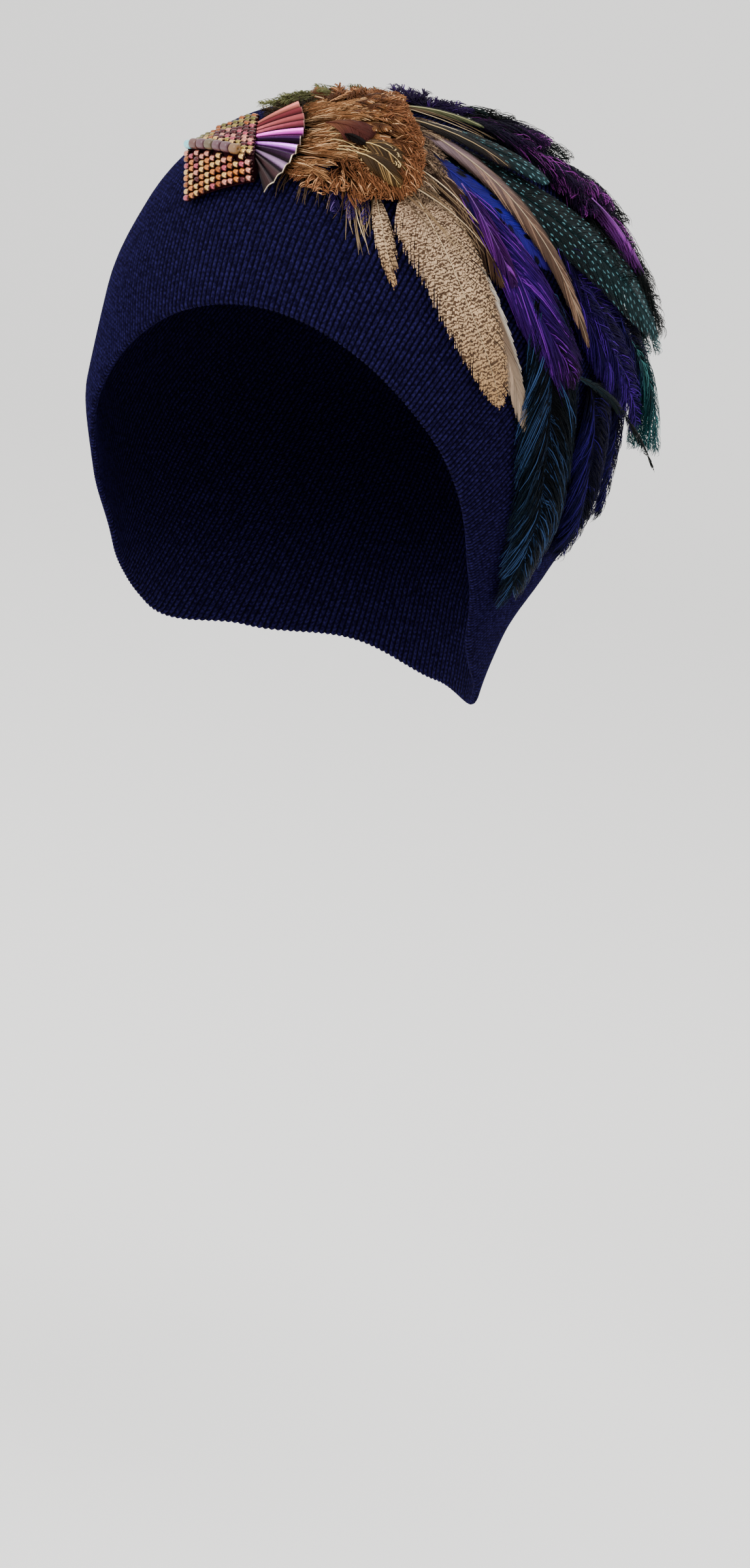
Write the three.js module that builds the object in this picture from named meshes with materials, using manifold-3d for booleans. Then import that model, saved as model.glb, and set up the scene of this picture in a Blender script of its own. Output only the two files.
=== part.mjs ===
// Flapper hat: a deep rib-knit cap with a spray of dyed feathers, a feather pad and a beaded brooch.
// Millimetres, +Z up. The origin lies on the inner face of the crown, over the top of the head.
// -Y is the wearer's front and +X is the wearer's left.

import * as THREE from "three";
import { mergeVertices } from "three/addons/utils/BufferGeometryUtils.js";
import Module from "manifold-3d";

const wasm = await Module();
wasm.setup();

/** Rows of values, as objects with named columns. */
function table(columns, ...rows) {
  return rows.map((row) => Object.fromEntries(columns.map((column, i) => [column, row[i]])));
}

// Knit cap
const WALL = 2.4;
const CROWN_TO_CENTRE = 93;
const POLE_LEAN = 44;
const CAP_COLUMNS = 50;
const OUTER_ROWS = 16;
const INNER_ROWS = 11;
const POLE_SHARE = 0.012;
const RIM_ROUNDING = 0.4;

// Outer face of the cap at each depth below the crown: half width, and reach to the front and the back.
const CAP_SECTIONS = table(
  ["depth", "half", "front", "back"],
  [0, 0.5, 0.5, 0.5],
  [8, 40, 49, 54],
  [24, 63, 76, 84],
  [48, 77, 92, 101],
  [78, 84, 98, 107],
  [108, 84.5, 97, 97],
  [138, 75, 93, 77],
  [163, 66, 86, 63],
  [188, 63, 78, 58],
  [213, 63, 74, 60],
);

// The rim, as degrees of reach from the knit's pole at each turn from the front (0) to the nape (180).
const RIM = table(
  ["turn", "reach"],
  [0, 118],
  [45, 124],
  [90, 132],
  [115, 131],
  [140, 120],
  [160, 108],
  [180, 103],
);

// The feather spray is laid out on the cap in millimetres left and down from its middle, on the pad.
const SPRAY_REACH = 82;
const SPRAY_TURN = 6;
const SPRAY_RADIUS = 95;

// Feathers lie one over another. Each row has its path on the cap from root to tip, its full width and
// the height of its underside over the cap at the root, the middle and the tip.
const VANE = 0.7;
const TIP_HALF_WIDTH = 0.4;
const TIP_ROUNDING = 2.2;
const ROOT_SHARE = 0.2;
const STATION_PITCH = 8;
const LEAST_STATIONS = 3;

// Single feathers. The belly is the share of the length at which they are widest.
const FEATHERS = table(
  ["name", "finish", "root", "mid", "tip", "width", "belly", "lift"],
  ["flank_feather", "tan", [17, 14], [41, 30], [75, 50], 16.5, 0.26, [0.4, 0.4, 0.4]],
  ["flank_feather_narrow", "tan", [10, 23], [15, 30], [23, 41], 6, 0.35, [0.4, 0.4, 0.4]],
  ["pale_feather", "pale", [21, 12], [47, 25], [91, 48], 9, 0.35, [1.6, 1.6, 1.6]],
  ["brown_hackle", "brown", [22, 3], [39, 11], [54, 20], 8, 0.5, [2.8, 2.8, 2.8]],
  ["blue_spotted_feather", "blue", [22, -3], [43, 0], [66, -3], 11, 0.5, [2.8, 2.8, 2.8]],
  ["guinea_feather", "teal", [16.5, -13.5], [64, -22], [114, -58], 20, 0.6, [1.6, 3, 10]],
  ["dark_quill", "black", [94, 17], [120, -1], [149, -10], 4, 0.4, [2.8, 7, 17]],
  ["pheasant_quill", "brown", [20, -12], [45, -7], [93, 3], 8, 0.3, [4, 4, 4]],
  ["guinea_feather_small", "teal", [17.5, -20], [34, -29], [44, -32], 9, 0.6, [4.4, 4.2, 4.1]],
  ["violet_crescent", "magenta", [61, -45], [78, -53], [92, -55], 5, 0.5, [6.7, 7.9, 9.4]],
  ["olive_feather", "olive", [0, -32], [9, -34], [22, -34], 7, 0.45, [0.8, 4, 5.2]],
  ["dark_brown_feather", "brown", [13, -16], [24.5, -20], [36, -19], 7, 0.45, [5.8, 5, 5.2]],
);

// Soft plumes: a stem with side locks fused to it. Widths of locks and stem are shares of the plume's.
const LOCK_SPREAD = 26;
const LOCK_WIDTH = 0.42;
const LOCK_BELLY = 0.35;
const STEM_WIDTH = 0.62;
const STEM_BELLY = 0.6;
const FIRST_LOCK = 0.15;
const LAST_LOCK = 0.82;
const PLUMES = table(
  ["name", "finish", "root", "mid", "tip", "width", "locks", "lift"],
  ["steel_plume", "steel", [62, 6], [103, 40], [145, 96], 26, 7, [0.4, 0.4, 0.4]],
  ["navy_plume", "navy", [103, 6], [134, 15], [160, 54], 24, 6, [0.4, 0.4, 0.4]],
  ["navy_plume_outer", "navy", [116, -12], [142, -16], [167, 14], 17, 5, [0.4, 0.4, 0.4]],
  ["teal_tip_plume", "teal", [108, -37], [129, -36], [150, -25], 11, 3, [3, 8.6, 13.5]],
  ["purple_plume", "purple", [24, 0], [61, 12], [98, 17], 14, 6, [1.6, 1.6, 1.6]],
  ["purple_marabou", "purple", [60, -14], [92, -20], [132, -42], 20, 7, [0.4, 0.8, 3.2]],
  ["magenta_wisps", "magenta", [27, 1], [44, 11], [57, 18], 6, 3, [4, 4, 4]],
  ["crown_plume_front", "magenta", [14, -53], [26, -56], [40, -57], 22, 3, [0.4, 3.6, 6]],
  ["crown_plume_back", "magenta", [40, -68], [53, -61], [67, -52], 24, 4, [0.4, 3.6, 6.4]],
  ["dark_plume", "black", [53, -69], [82, -64], [116, -70], 20, 4, [0.4, 5, 9.6]],
);

// Feather pad: a low oval dome covered in rings of leaf-shaped locks, with a fringe below. Rings run
// between shares of the way out, and heights are over the cap.
const PAD = { middle: [1.5, -4], half_width: 18, half_length: 26, lean: 17, base: 0.7 };
const PAD_SECTORS = 16;
const PAD_LOCK = 2.3;
const PAD_PROFILE = table(
  ["out", "height"],
  [0.02, 7.2],
  [0.35, 6.8],
  [0.65, 5.9],
  [0.86, 4.8],
  [0.92, 2.1],
  [0.84, PAD.base],
  [0.42, PAD.base],
  [0.02, PAD.base],
);
const PAD_RINGS = table(
  ["from", "to", "count", "width", "height"],
  [0.1, 0.62, 4, 12, 5.2],
  [0.42, 0.86, 7, 11, 4.4],
  [0.68, 1, 8, 13, 3.5],
);
const PAD_FRINGE = table(
  ["root", "tip", "width"],
  [[-8, 8], [-13, 31], 4],
  [[-4, 11], [0, 33], 4],
  [[0, 12], [8, 35], 3],
);

// Tufts behind the pad: short locks that spread from one root.
const TUFTS = table(
  ["name", "finish", "root", "tips", "width", "root_height", "tip_height"],
  ["olive_tuft", "olive", [-14, -32], [[-40, -24], [-32, -30], [-22, -38], [-12, -42]], 8, 0.4, 4],
  ["purple_tuft", "purple", [0, -42], [[-8, -49], [1, -52], [9, -49]], 7, 0.4, 4],
);

// Beaded brooch: a folded panel of beadwork between three rails, each from its left to its right end.
const PANEL_STATIONS = 7;
const PANEL_BASE = 1.1;
const PANEL_RAILS = table(
  ["rail", "left", "right", "left_height", "right_height"],
  ["lower", [-50, 29], [-28, 24], 2.6, 2.6],
  ["ridge", [-55, 12], [-28.5, 20], 7.6, 7.6],
  ["upper", [-57, 8], [-38, -1], 5.4, 5.4],
);
const RIDGE_BEAD = { count: 6, length: 3.5, diameter: 3.2, hole: 0.9, sides: 8 };
const TIP_BEAD = { length: 2.6, diameter: 2.8, hole: 0.8, sides: 8 };
const BEAD_FACE = 0.8;
const BEAD_BODY = 0.55;
const BEAD_GAP = 0.3;
const RIDGE_INSET = 2.2;

// Pleated fan: flutes between an inner edge beside the panel and an outer arc.
const FAN = { flutes: 11, depth: 1.1, inner_depth: 0.4, thickness: 0.8, height: 5.6 };
const FAN_INNER = { start: [-36.3, 1.4], end: [-28.2, 19.6] };
const FAN_OUTER = { start: [-30.5, -12.5], mid: [-18.8, 9], end: [-21, 30] };

// Steps used in measuring: halvings to find a surface, slopes in directions, headings in millimetres.
const HALVINGS = 28;
const SEARCH = { from: 1, to: 190 };
const SLOPE_STEP = 0.01;
const HEADING_STEP = 0.5;
const RAIL_STEP = 0.02;
const WELD = 1e-4;

const COLOURS = {
  knit: { color: "#15123f", roughness: 0.9, metalness: 0 },
  pad: { color: "#8a5128", roughness: 0.75, metalness: 0 },
  tan: { color: "#c9a77f", roughness: 0.7, metalness: 0 },
  pale: { color: "#d8c8b6", roughness: 0.7, metalness: 0 },
  brown: { color: "#6d4c3a", roughness: 0.6, metalness: 0 },
  blue: { color: "#2a24a0", roughness: 0.55, metalness: 0 },
  teal: { color: "#0f3b3a", roughness: 0.55, metalness: 0 },
  black: { color: "#10171a", roughness: 0.6, metalness: 0 },
  olive: { color: "#5d6130", roughness: 0.7, metalness: 0 },
  steel: { color: "#1d3a56", roughness: 0.7, metalness: 0 },
  navy: { color: "#140f45", roughness: 0.75, metalness: 0 },
  purple: { color: "#43108c", roughness: 0.75, metalness: 0 },
  magenta: { color: "#7c1a86", roughness: 0.75, metalness: 0 },
  beadwork: { color: "#b98a4e", roughness: 0.3, metalness: 0.6 },
  taupe: { color: "#7b5a54", roughness: 0.6, metalness: 0 },
  turquoise: { color: "#6fd0d2", roughness: 0.15, metalness: 0.2 },
  foil: { color: "#c86fd0", roughness: 0.25, metalness: 0.8 },
};

// Shape of the cap
const HEAD_CENTRE = new THREE.Vector3(0, 0, WALL - CROWN_TO_CENTRE);
const LEAN = THREE.MathUtils.degToRad(POLE_LEAN);
const POLE = new THREE.Vector3(0, Math.sin(LEAN), Math.cos(LEAN));
const POLE_FRONT = new THREE.Vector3(0, -Math.cos(LEAN), Math.sin(LEAN));
const LEFT = new THREE.Vector3(1, 0, 0);

/** Smooth rise-keeping curve through the rows' values, with the given slopes at its ends. */
function smoothColumn(rows, at, column, x, endSlope) {
  const steps = rows.slice(1).map((row, i) => row[at] - rows[i][at]);
  const rises = steps.map((step, i) => (rows[i + 1][column] - rows[i][column]) / step);
  const slope = (i) => {
    if (i === 0) return endSlope ?? rises[0];
    if (i === rows.length - 1) return endSlope ?? rises[i - 1];
    const product = rises[i - 1] * rises[i];
    return product > 0 ? (2 * product) / (rises[i - 1] + rises[i]) : 0;
  };
  let i = 0;
  while (i < rows.length - 2 && x > rows[i + 1][at]) i += 1;
  const t = (x - rows[i][at]) / steps[i];
  const t2 = t * t;
  const t3 = t2 * t;
  const values = (2 * t3 - 3 * t2 + 1) * rows[i][column] + (3 * t2 - 2 * t3) * rows[i + 1][column];
  return values + steps[i] * ((t3 - 2 * t2 + t) * slope(i) + (t3 - t2) * slope(i + 1));
}

// Sections are read on the square root of their depth, which keeps the crown round.
const ROUND_SECTIONS = CAP_SECTIONS.map((row) => ({ ...row, root: Math.sqrt(row.depth) }));
const DEEPEST = CAP_SECTIONS.at(-1).depth;

/** Whether a point, measured from the head's centre, lies inside the cap's outer face. */
function insideCap(point) {
  const depth = CROWN_TO_CENTRE - point.z;
  if (depth <= 0) return false;
  const root = Math.sqrt(Math.min(depth, DEEPEST));
  const half = smoothColumn(ROUND_SECTIONS, "root", "half", root);
  const reach = smoothColumn(ROUND_SECTIONS, "root", point.y < 0 ? "front" : "back", root);
  return (point.x / half) ** 2 + (point.y / reach) ** 2 < 1;
}

/** Distance from the head's centre to the cap's outer face along a direction. */
function capRadius(direction) {
  let low = SEARCH.from;
  let high = SEARCH.to;
  const probe = new THREE.Vector3();
  for (let i = 0; i < HALVINGS; i += 1) {
    const middle = (low + high) / 2;
    if (insideCap(probe.copy(direction).multiplyScalar(middle))) low = middle;
    else high = middle;
  }
  return low;
}

/** Point at a height over the cap's outer face, along a direction from the head's centre. */
function overCap(direction, height) {
  return direction.clone().multiplyScalar(capRadius(direction) + height).add(HEAD_CENTRE);
}

/** Direction at a reach from the knit's pole and a turn from the front, in degrees. */
function fromPole(reach, turn) {
  const away = THREE.MathUtils.degToRad(reach);
  const round = THREE.MathUtils.degToRad(turn);
  const side = POLE_FRONT.clone().multiplyScalar(Math.cos(round));
  side.addScaledVector(LEFT, Math.sin(round));
  return POLE.clone().multiplyScalar(Math.cos(away)).addScaledVector(side, Math.sin(away));
}

const SPRAY_MIDDLE = fromPole(SPRAY_REACH, SPRAY_TURN);
const SPRAY_DOWN = fromPole(SPRAY_REACH + 90, SPRAY_TURN);
const SPRAY_LEFT = new THREE.Vector3().crossVectors(SPRAY_MIDDLE, SPRAY_DOWN);

/** Direction of a place on the spray, given in millimetres left and down from its middle. */
function fromSpray([left, down]) {
  const distance = Math.hypot(left, down);
  if (distance === 0) return SPRAY_MIDDLE.clone();
  const angle = distance / SPRAY_RADIUS;
  const away = SPRAY_LEFT.clone().multiplyScalar(left / distance);
  away.addScaledVector(SPRAY_DOWN, down / distance);
  return SPRAY_MIDDLE.clone().multiplyScalar(Math.cos(angle)).addScaledVector(away, Math.sin(angle));
}

/** Curve from the root through the middle to the tip, on the spray's own sheet. */
function sprayCurve(root, mid, tip) {
  const bend = mid.map((value, axis) => 2 * value - (root[axis] + tip[axis]) / 2);
  return new THREE.QuadraticBezierCurve(
    new THREE.Vector2(...root),
    new THREE.Vector2(...bend),
    new THREE.Vector2(...tip),
  );
}

// Solids from rings of points
/** Closed geometry through rings of points, each ring in the same sense, with flat fans at both ends. */
function ringSolid(rings) {
  const around = rings[0].length;
  const positions = rings.flat().flatMap((point) => [point.x, point.y, point.z]);
  const faces = [];
  for (let row = 0; row + 1 < rings.length; row += 1) {
    for (let i = 0; i < around; i += 1) {
      const a = row * around + i;
      const b = row * around + ((i + 1) % around);
      faces.push(a, b, b + around, a, b + around, a + around);
    }
  }
  const last = (rings.length - 1) * around;
  for (let i = 1; i + 1 < around; i += 1) {
    faces.push(0, i + 1, i);
    faces.push(last, last + i, last + i + 1);
  }
  const geometry = new THREE.BufferGeometry();
  geometry.setAttribute("position", new THREE.Float32BufferAttribute(positions, 3));
  geometry.setIndex(faces);
  return geometry;
}

/** The solid that a closed geometry bounds. */
function toSolid(geometry) {
  const bare = geometry.clone();
  bare.deleteAttribute("normal");
  bare.deleteAttribute("uv");
  const merged = mergeVertices(bare, WELD);
  const mesh = new wasm.Mesh({
    numProp: 3,
    vertProperties: Float32Array.from(merged.attributes.position.array),
    triVerts: Uint32Array.from(merged.index.array),
  });
  return new wasm.Manifold(mesh);
}

/** One geometry from several closed ones that run into each other. */
function fuse(geometries) {
  const whole = geometries.map(toSolid).reduce((sum, solid) => sum.add(solid));
  const mesh = whole.getMesh();
  const positions = Array.from(mesh.vertProperties);
  const geometry = new THREE.BufferGeometry();
  geometry.setAttribute("position", new THREE.Float32BufferAttribute(positions, 3));
  geometry.setIndex(Array.from(mesh.triVerts));
  return geometry;
}

/** Named mesh with the colour of its finish. */
function part(name, geometry, finish) {
  geometry.computeVertexNormals();
  const mesh = new THREE.Mesh(geometry, new THREE.MeshStandardMaterial(COLOURS[finish]));
  mesh.name = name;
  return mesh;
}

// Knit cap
/** Outward normal of the cap's outer face along a direction. */
function capNormal(direction) {
  const beside = Math.abs(direction.x) < Math.SQRT1_2 ? LEFT : POLE;
  const across = new THREE.Vector3().crossVectors(direction, beside).normalize();
  const along = new THREE.Vector3().crossVectors(direction, across);
  const slope = (axis) => {
    const ahead = overCap(direction.clone().addScaledVector(axis, SLOPE_STEP).normalize(), 0);
    const behind = overCap(direction.clone().addScaledVector(axis, -SLOPE_STEP).normalize(), 0);
    return ahead.sub(behind);
  };
  const normal = new THREE.Vector3().crossVectors(slope(across), slope(along)).normalize();
  return normal.dot(direction) < 0 ? normal.negate() : normal;
}

/** One row of points round the cap, at a share of the way to the rim and a depth below its face. */
function capRow(share, depth, stretch) {
  const points = [];
  for (let column = 0; column < CAP_COLUMNS; column += 1) {
    const turn = 360 - (360 * column) / CAP_COLUMNS;
    const rim = smoothColumn(RIM, "turn", "reach", Math.min(turn, 360 - turn), 0);
    const direction = fromPole(rim * share + stretch, turn);
    points.push(overCap(direction, 0).addScaledVector(capNormal(direction), -depth));
  }
  return points;
}

/** The cap as one closed wall: outer rows from the pole to the rim, then inner rows back. */
function knitCap() {
  const rows = [];
  for (let i = 0; i <= OUTER_ROWS; i += 1) {
    rows.push(capRow(THREE.MathUtils.lerp(POLE_SHARE, 1, i / OUTER_ROWS), 0, 0));
  }
  rows.push(capRow(1, WALL / 2, RIM_ROUNDING));
  for (let i = INNER_ROWS; i >= 0; i -= 1) {
    rows.push(capRow(THREE.MathUtils.lerp(POLE_SHARE, 1, i / INNER_ROWS), WALL, 0));
  }
  return ringSolid(rows);
}

// Feathers
/** Height along a feather, from its heights at the root, the middle and the tip. */
function liftAt([root, mid, tip], t) {
  const bend = 2 * mid - (root + tip) / 2;
  return root * (1 - t) ** 2 + bend * 2 * t * (1 - t) + tip * t * t;
}

/** Half width of a vane along its length, rising to its belly and rounding off to its tip. */
function vaneHalfWidth(width, belly, t) {
  const half = width / 2;
  if (t < belly) {
    const rise = t / belly;
    return half * (ROOT_SHARE + (1 - ROOT_SHARE) * rise * (2 - rise));
  }
  const fall = (t - belly) / (1 - belly);
  return Math.max(TIP_HALF_WIDTH, half * Math.sqrt(Math.max(0, 1 - fall ** TIP_ROUNDING)));
}

/** Lens-shaped strip that follows a curve over the cap between two heights. */
function strip(curve, halfWidthAt, heightAt, thickness) {
  const stations = Math.max(LEAST_STATIONS, Math.ceil(curve.getLength() / STATION_PITCH));
  const rings = [];
  for (let i = 0; i <= stations; i += 1) {
    const t = i / stations;
    const place = curve.getPoint(t);
    const direction = fromSpray([place.x, place.y]);
    const next = place.clone().addScaledVector(curve.getTangent(t), HEADING_STEP);
    const ahead = fromSpray([next.x, next.y]);
    const side = new THREE.Vector3().crossVectors(direction, ahead).normalize();
    const middle = overCap(direction, 0).sub(HEAD_CENTRE);
    const edge = (sign) => {
      const toEdge = middle.clone().addScaledVector(side, sign * halfWidthAt(t)).normalize();
      return overCap(toEdge, heightAt(t) + thickness / 2);
    };
    const top = overCap(direction, heightAt(t) + thickness);
    const bottom = overCap(direction, heightAt(t));
    rings.push([edge(1), top, edge(-1), bottom]);
  }
  return ringSolid(rings);
}

/** One flat-lying feather. */
function feather(row) {
  const curve = sprayCurve(row.root, row.mid, row.tip);
  const halfWidthAt = (t) => vaneHalfWidth(row.width, row.belly, t);
  return strip(curve, halfWidthAt, (t) => liftAt(row.lift, t), VANE);
}

/** Short tapering lock between two places, at heights that run from its root to its tip. */
function lock(root, tip, width, rootHeight, tipHeight, thickness) {
  const mid = root.map((value, axis) => (value + tip[axis]) / 2);
  const halfWidthAt = (t) => vaneHalfWidth(width, LOCK_BELLY, t);
  const heightAt = (t) => THREE.MathUtils.lerp(rootHeight, tipHeight, t);
  return strip(sprayCurve(root, mid, tip), halfWidthAt, heightAt, thickness);
}

/** Soft plume: a stem with locks that leave it on alternate sides. */
function plume(row) {
  const curve = sprayCurve(row.root, row.mid, row.tip);
  const length = curve.getLength();
  const stemWidth = (t) => vaneHalfWidth(row.width * STEM_WIDTH, STEM_BELLY, t);
  const pieces = [strip(curve, stemWidth, (t) => liftAt(row.lift, t), VANE)];
  const spread = THREE.MathUtils.degToRad(LOCK_SPREAD);
  const reach = row.width / 2 / Math.sin(spread);
  const width = row.width * LOCK_WIDTH;
  for (let i = 0; i < row.locks; i += 1) {
    const t = FIRST_LOCK + ((LAST_LOCK - FIRST_LOCK) * i) / (row.locks - 1);
    const start = curve.getPoint(t);
    const turn = i % 2 ? spread : -spread;
    const heading = curve.getTangent(t).rotateAround(new THREE.Vector2(), turn);
    const end = start.clone().addScaledVector(heading, reach);
    const height = liftAt(row.lift, t);
    const endHeight = liftAt(row.lift, Math.min(1, t + (reach * Math.cos(spread)) / length));
    pieces.push(lock(start.toArray(), end.toArray(), width, height, endHeight, VANE));
  }
  return fuse(pieces);
}

/** Tuft of short locks that spread from one root. */
function tuft(row) {
  const { root, width, root_height: low, tip_height: high } = row;
  return fuse(row.tips.map((tip) => lock(root, tip, width, low, high, VANE)));
}

// Feather pad
const PAD_LEAN = THREE.MathUtils.degToRad(PAD.lean);

/** Place on the spray of a point of the pad, by its share of the way out and its angle. */
function padPlace(share, angle) {
  const across = PAD.half_width * share * Math.cos(angle);
  const along = PAD.half_length * share * Math.sin(angle);
  const left = across * Math.cos(PAD_LEAN) + along * Math.sin(PAD_LEAN);
  const down = along * Math.cos(PAD_LEAN) - across * Math.sin(PAD_LEAN);
  return [PAD.middle[0] + left, PAD.middle[1] + down];
}

/** The pad's dome, from the middle of its top over its edge to the middle of its base. */
function padDome() {
  const rings = PAD_PROFILE.map(({ out, height }) => {
    const ring = [];
    for (let i = 0; i < PAD_SECTORS; i += 1) {
      const angle = (2 * Math.PI * i) / PAD_SECTORS;
      ring.push(overCap(fromSpray(padPlace(out, angle)), height));
    }
    return ring;
  });
  return ringSolid(rings);
}

/** The whole pad: dome, rings of leaf-shaped locks and the fringe along its lower edge. */
function featherPad() {
  const pieces = [padDome()];
  for (const [index, ring] of PAD_RINGS.entries()) {
    for (let i = 0; i < ring.count; i += 1) {
      const angle = (2 * Math.PI * (i + index / 2)) / ring.count;
      const root = padPlace(ring.from, angle);
      const tip = padPlace(ring.to, angle);
      pieces.push(lock(root, tip, ring.width, ring.height, ring.height, PAD_LOCK));
    }
  }
  for (const row of PAD_FRINGE) {
    pieces.push(lock(row.root, row.tip, row.width, PAD.base, PAD.base, VANE));
  }
  return fuse(pieces);
}

// Brooch
/** Point on one of the panel's rails. */
function railPoint(rail, share, height) {
  const place = rail.left.map((value, axis) => THREE.MathUtils.lerp(value, rail.right[axis], share));
  return overCap(fromSpray(place), height);
}

/** Height of a rail over the cap. */
function railHeight(rail, share) {
  return THREE.MathUtils.lerp(rail.left_height, rail.right_height, share);
}

/** The folded panel that carries the beadwork. */
function beadedPanel() {
  const rings = [];
  for (let i = 0; i < PANEL_STATIONS; i += 1) {
    const share = i / (PANEL_STATIONS - 1);
    const [lower, ridge, upper] = PANEL_RAILS.map((rail) => ({
      base: railPoint(rail, share, PANEL_BASE),
      top: railPoint(rail, share, railHeight(rail, share)),
    }));
    rings.push([ridge.base, upper.base, upper.top, ridge.top, lower.top, lower.base]);
  }
  return ringSolid(rings);
}

/** Drilled bead with rounded shoulders, its hole along X. */
function beadGeometry({ length, diameter, hole, sides }) {
  const half = length / 2;
  const radius = diameter / 2;
  const face = radius * BEAD_FACE;
  const body = half * BEAD_BODY;
  const profile = [
    [hole / 2, -half],
    [face, -half],
    [radius, -body],
    [radius, body],
    [face, half],
    [hole / 2, half],
    [hole / 2, -half],
  ].map(([across, along]) => new THREE.Vector2(across, along));
  const bead = new THREE.LatheGeometry(profile, sides);
  bead.deleteAttribute("normal");
  bead.deleteAttribute("uv");
  return mergeVertices(bead, WELD).rotateZ(-Math.PI / 2);
}

/** Beads threaded along the panel's ridge, the small bright one at its left end. */
function ridgeBeads() {
  const ridge = PANEL_RAILS[1];
  const left = railPoint(ridge, 0, railHeight(ridge, 0));
  const right = railPoint(ridge, 1, railHeight(ridge, 1));
  const length = left.distanceTo(right);
  const place = (mesh, distance, radius) => {
    const share = distance / length;
    const height = railHeight(ridge, share) + BEAD_GAP + radius;
    const behind = railPoint(ridge, share - RAIL_STEP, height);
    const ahead = railPoint(ridge, share + RAIL_STEP, height);
    mesh.position.copy(railPoint(ridge, share, height));
    mesh.quaternion.setFromUnitVectors(LEFT, ahead.sub(behind).normalize());
    return mesh;
  };
  const tip = part("tip_bead", beadGeometry(TIP_BEAD), "turquoise");
  const beads = [place(tip, RIDGE_INSET, TIP_BEAD.diameter / 2)];
  const pitch = RIDGE_BEAD.length + BEAD_GAP;
  const first = RIDGE_INSET + TIP_BEAD.length / 2 + BEAD_GAP + RIDGE_BEAD.length / 2;
  for (let i = 0; i < RIDGE_BEAD.count; i += 1) {
    const bead = part(`ridge_bead_${i + 1}`, beadGeometry(RIDGE_BEAD), "taupe");
    beads.push(place(bead, first + pitch * i, RIDGE_BEAD.diameter / 2));
  }
  return beads;
}

/** Pleated fan: its folds run from the inner edge to the outer arc, alternately high and low. */
function pleatedFan() {
  const { start, end } = FAN_INNER;
  const outer = sprayCurve(FAN_OUTER.start, FAN_OUTER.mid, FAN_OUTER.end);
  const folds = FAN.flutes * 2;
  const rings = [];
  for (let i = 0; i <= folds; i += 1) {
    const share = i / folds;
    const near = fromSpray(start.map((value, axis) => THREE.MathUtils.lerp(value, end[axis], share)));
    const far = fromSpray(outer.getPoint(share).toArray());
    const side = i % 2 ? 0.5 : -0.5;
    const nearHeight = FAN.height + FAN.inner_depth * side;
    const farHeight = FAN.height + FAN.depth * side;
    rings.push([
      overCap(near, nearHeight),
      overCap(near, nearHeight - FAN.thickness),
      overCap(far, farHeight - FAN.thickness),
      overCap(far, farHeight),
    ]);
  }
  return ringSolid(rings);
}

// The hat
const hat = new THREE.Group();
hat.add(part("knit_cap", knitCap(), "knit"));
for (const row of FEATHERS) {
  hat.add(part(row.name, feather(row), row.finish));
}
for (const row of PLUMES) {
  hat.add(part(row.name, plume(row), row.finish));
}
for (const row of TUFTS) {
  hat.add(part(row.name, tuft(row), row.finish));
}
hat.add(part("feather_pad", featherPad(), "pad"));

const brooch = new THREE.Group();
brooch.add(part("beaded_panel", beadedPanel(), "beadwork"));
brooch.add(...ridgeBeads());
brooch.add(part("pleated_fan", pleatedFan(), "foil"));
hat.add(brooch);

export default hat;
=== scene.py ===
"""Looks of a flapper hat: a deep rib-knit cap with a feather spray, a feather pad and a brooch.

Sizes are in millimetres and become metres when a mesh is made. The wearer's front is -Y, the
wearer's left is +X, and the origin lies on the inner face of the crown.
"""

import logging
import math
from dataclasses import dataclass, field, replace
from enum import Enum, IntEnum
from typing import Any, Mapping, Sequence

import bpy
import numpy as np
from mathutils import Matrix, Vector


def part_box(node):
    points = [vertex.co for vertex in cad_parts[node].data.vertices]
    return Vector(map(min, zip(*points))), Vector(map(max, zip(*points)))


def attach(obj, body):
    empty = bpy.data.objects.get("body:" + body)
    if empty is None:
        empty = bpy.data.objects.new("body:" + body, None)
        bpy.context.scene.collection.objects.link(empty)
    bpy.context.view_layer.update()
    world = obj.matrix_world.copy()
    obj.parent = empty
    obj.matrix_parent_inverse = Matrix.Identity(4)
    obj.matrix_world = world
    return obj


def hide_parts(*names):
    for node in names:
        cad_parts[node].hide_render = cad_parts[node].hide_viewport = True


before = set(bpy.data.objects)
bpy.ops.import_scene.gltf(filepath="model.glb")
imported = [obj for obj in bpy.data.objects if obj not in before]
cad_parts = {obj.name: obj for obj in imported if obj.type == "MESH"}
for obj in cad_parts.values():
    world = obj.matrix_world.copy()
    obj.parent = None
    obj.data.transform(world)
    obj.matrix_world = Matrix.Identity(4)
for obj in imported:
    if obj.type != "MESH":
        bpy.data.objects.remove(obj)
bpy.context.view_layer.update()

Array = np.ndarray
Place = tuple[float, float]
Tree = bpy.types.NodeTree
MM = 0.001
BODY = "root"
# First seeds of the bunches and the tufts. The single feathers count from zero
BUNCH_SEED = 50
TUFT_SEED = 100
# Colour inputs of a mix node, which share their names with its other inputs
MIX_UNDER, MIX_OVER = 6, 7
LOG = logging.getLogger("flapper_hat")


# Small helpers

def linear(colour: str) -> tuple[float, float, float, float]:
    """Turn an sRGB hex colour into linear light.

    Args:
        colour: Colour such as "#1a2b3c".

    Returns:
        Red, green, blue and full alpha.
    """
    parts = [int(colour[i:i + 2], 16) / 255 for i in (1, 3, 5)]
    light = [c / 12.92 if c <= 0.04045 else ((c + 0.055) / 1.055) ** 2.4 for c in parts]
    return (light[0], light[1], light[2], 1.0)


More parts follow.
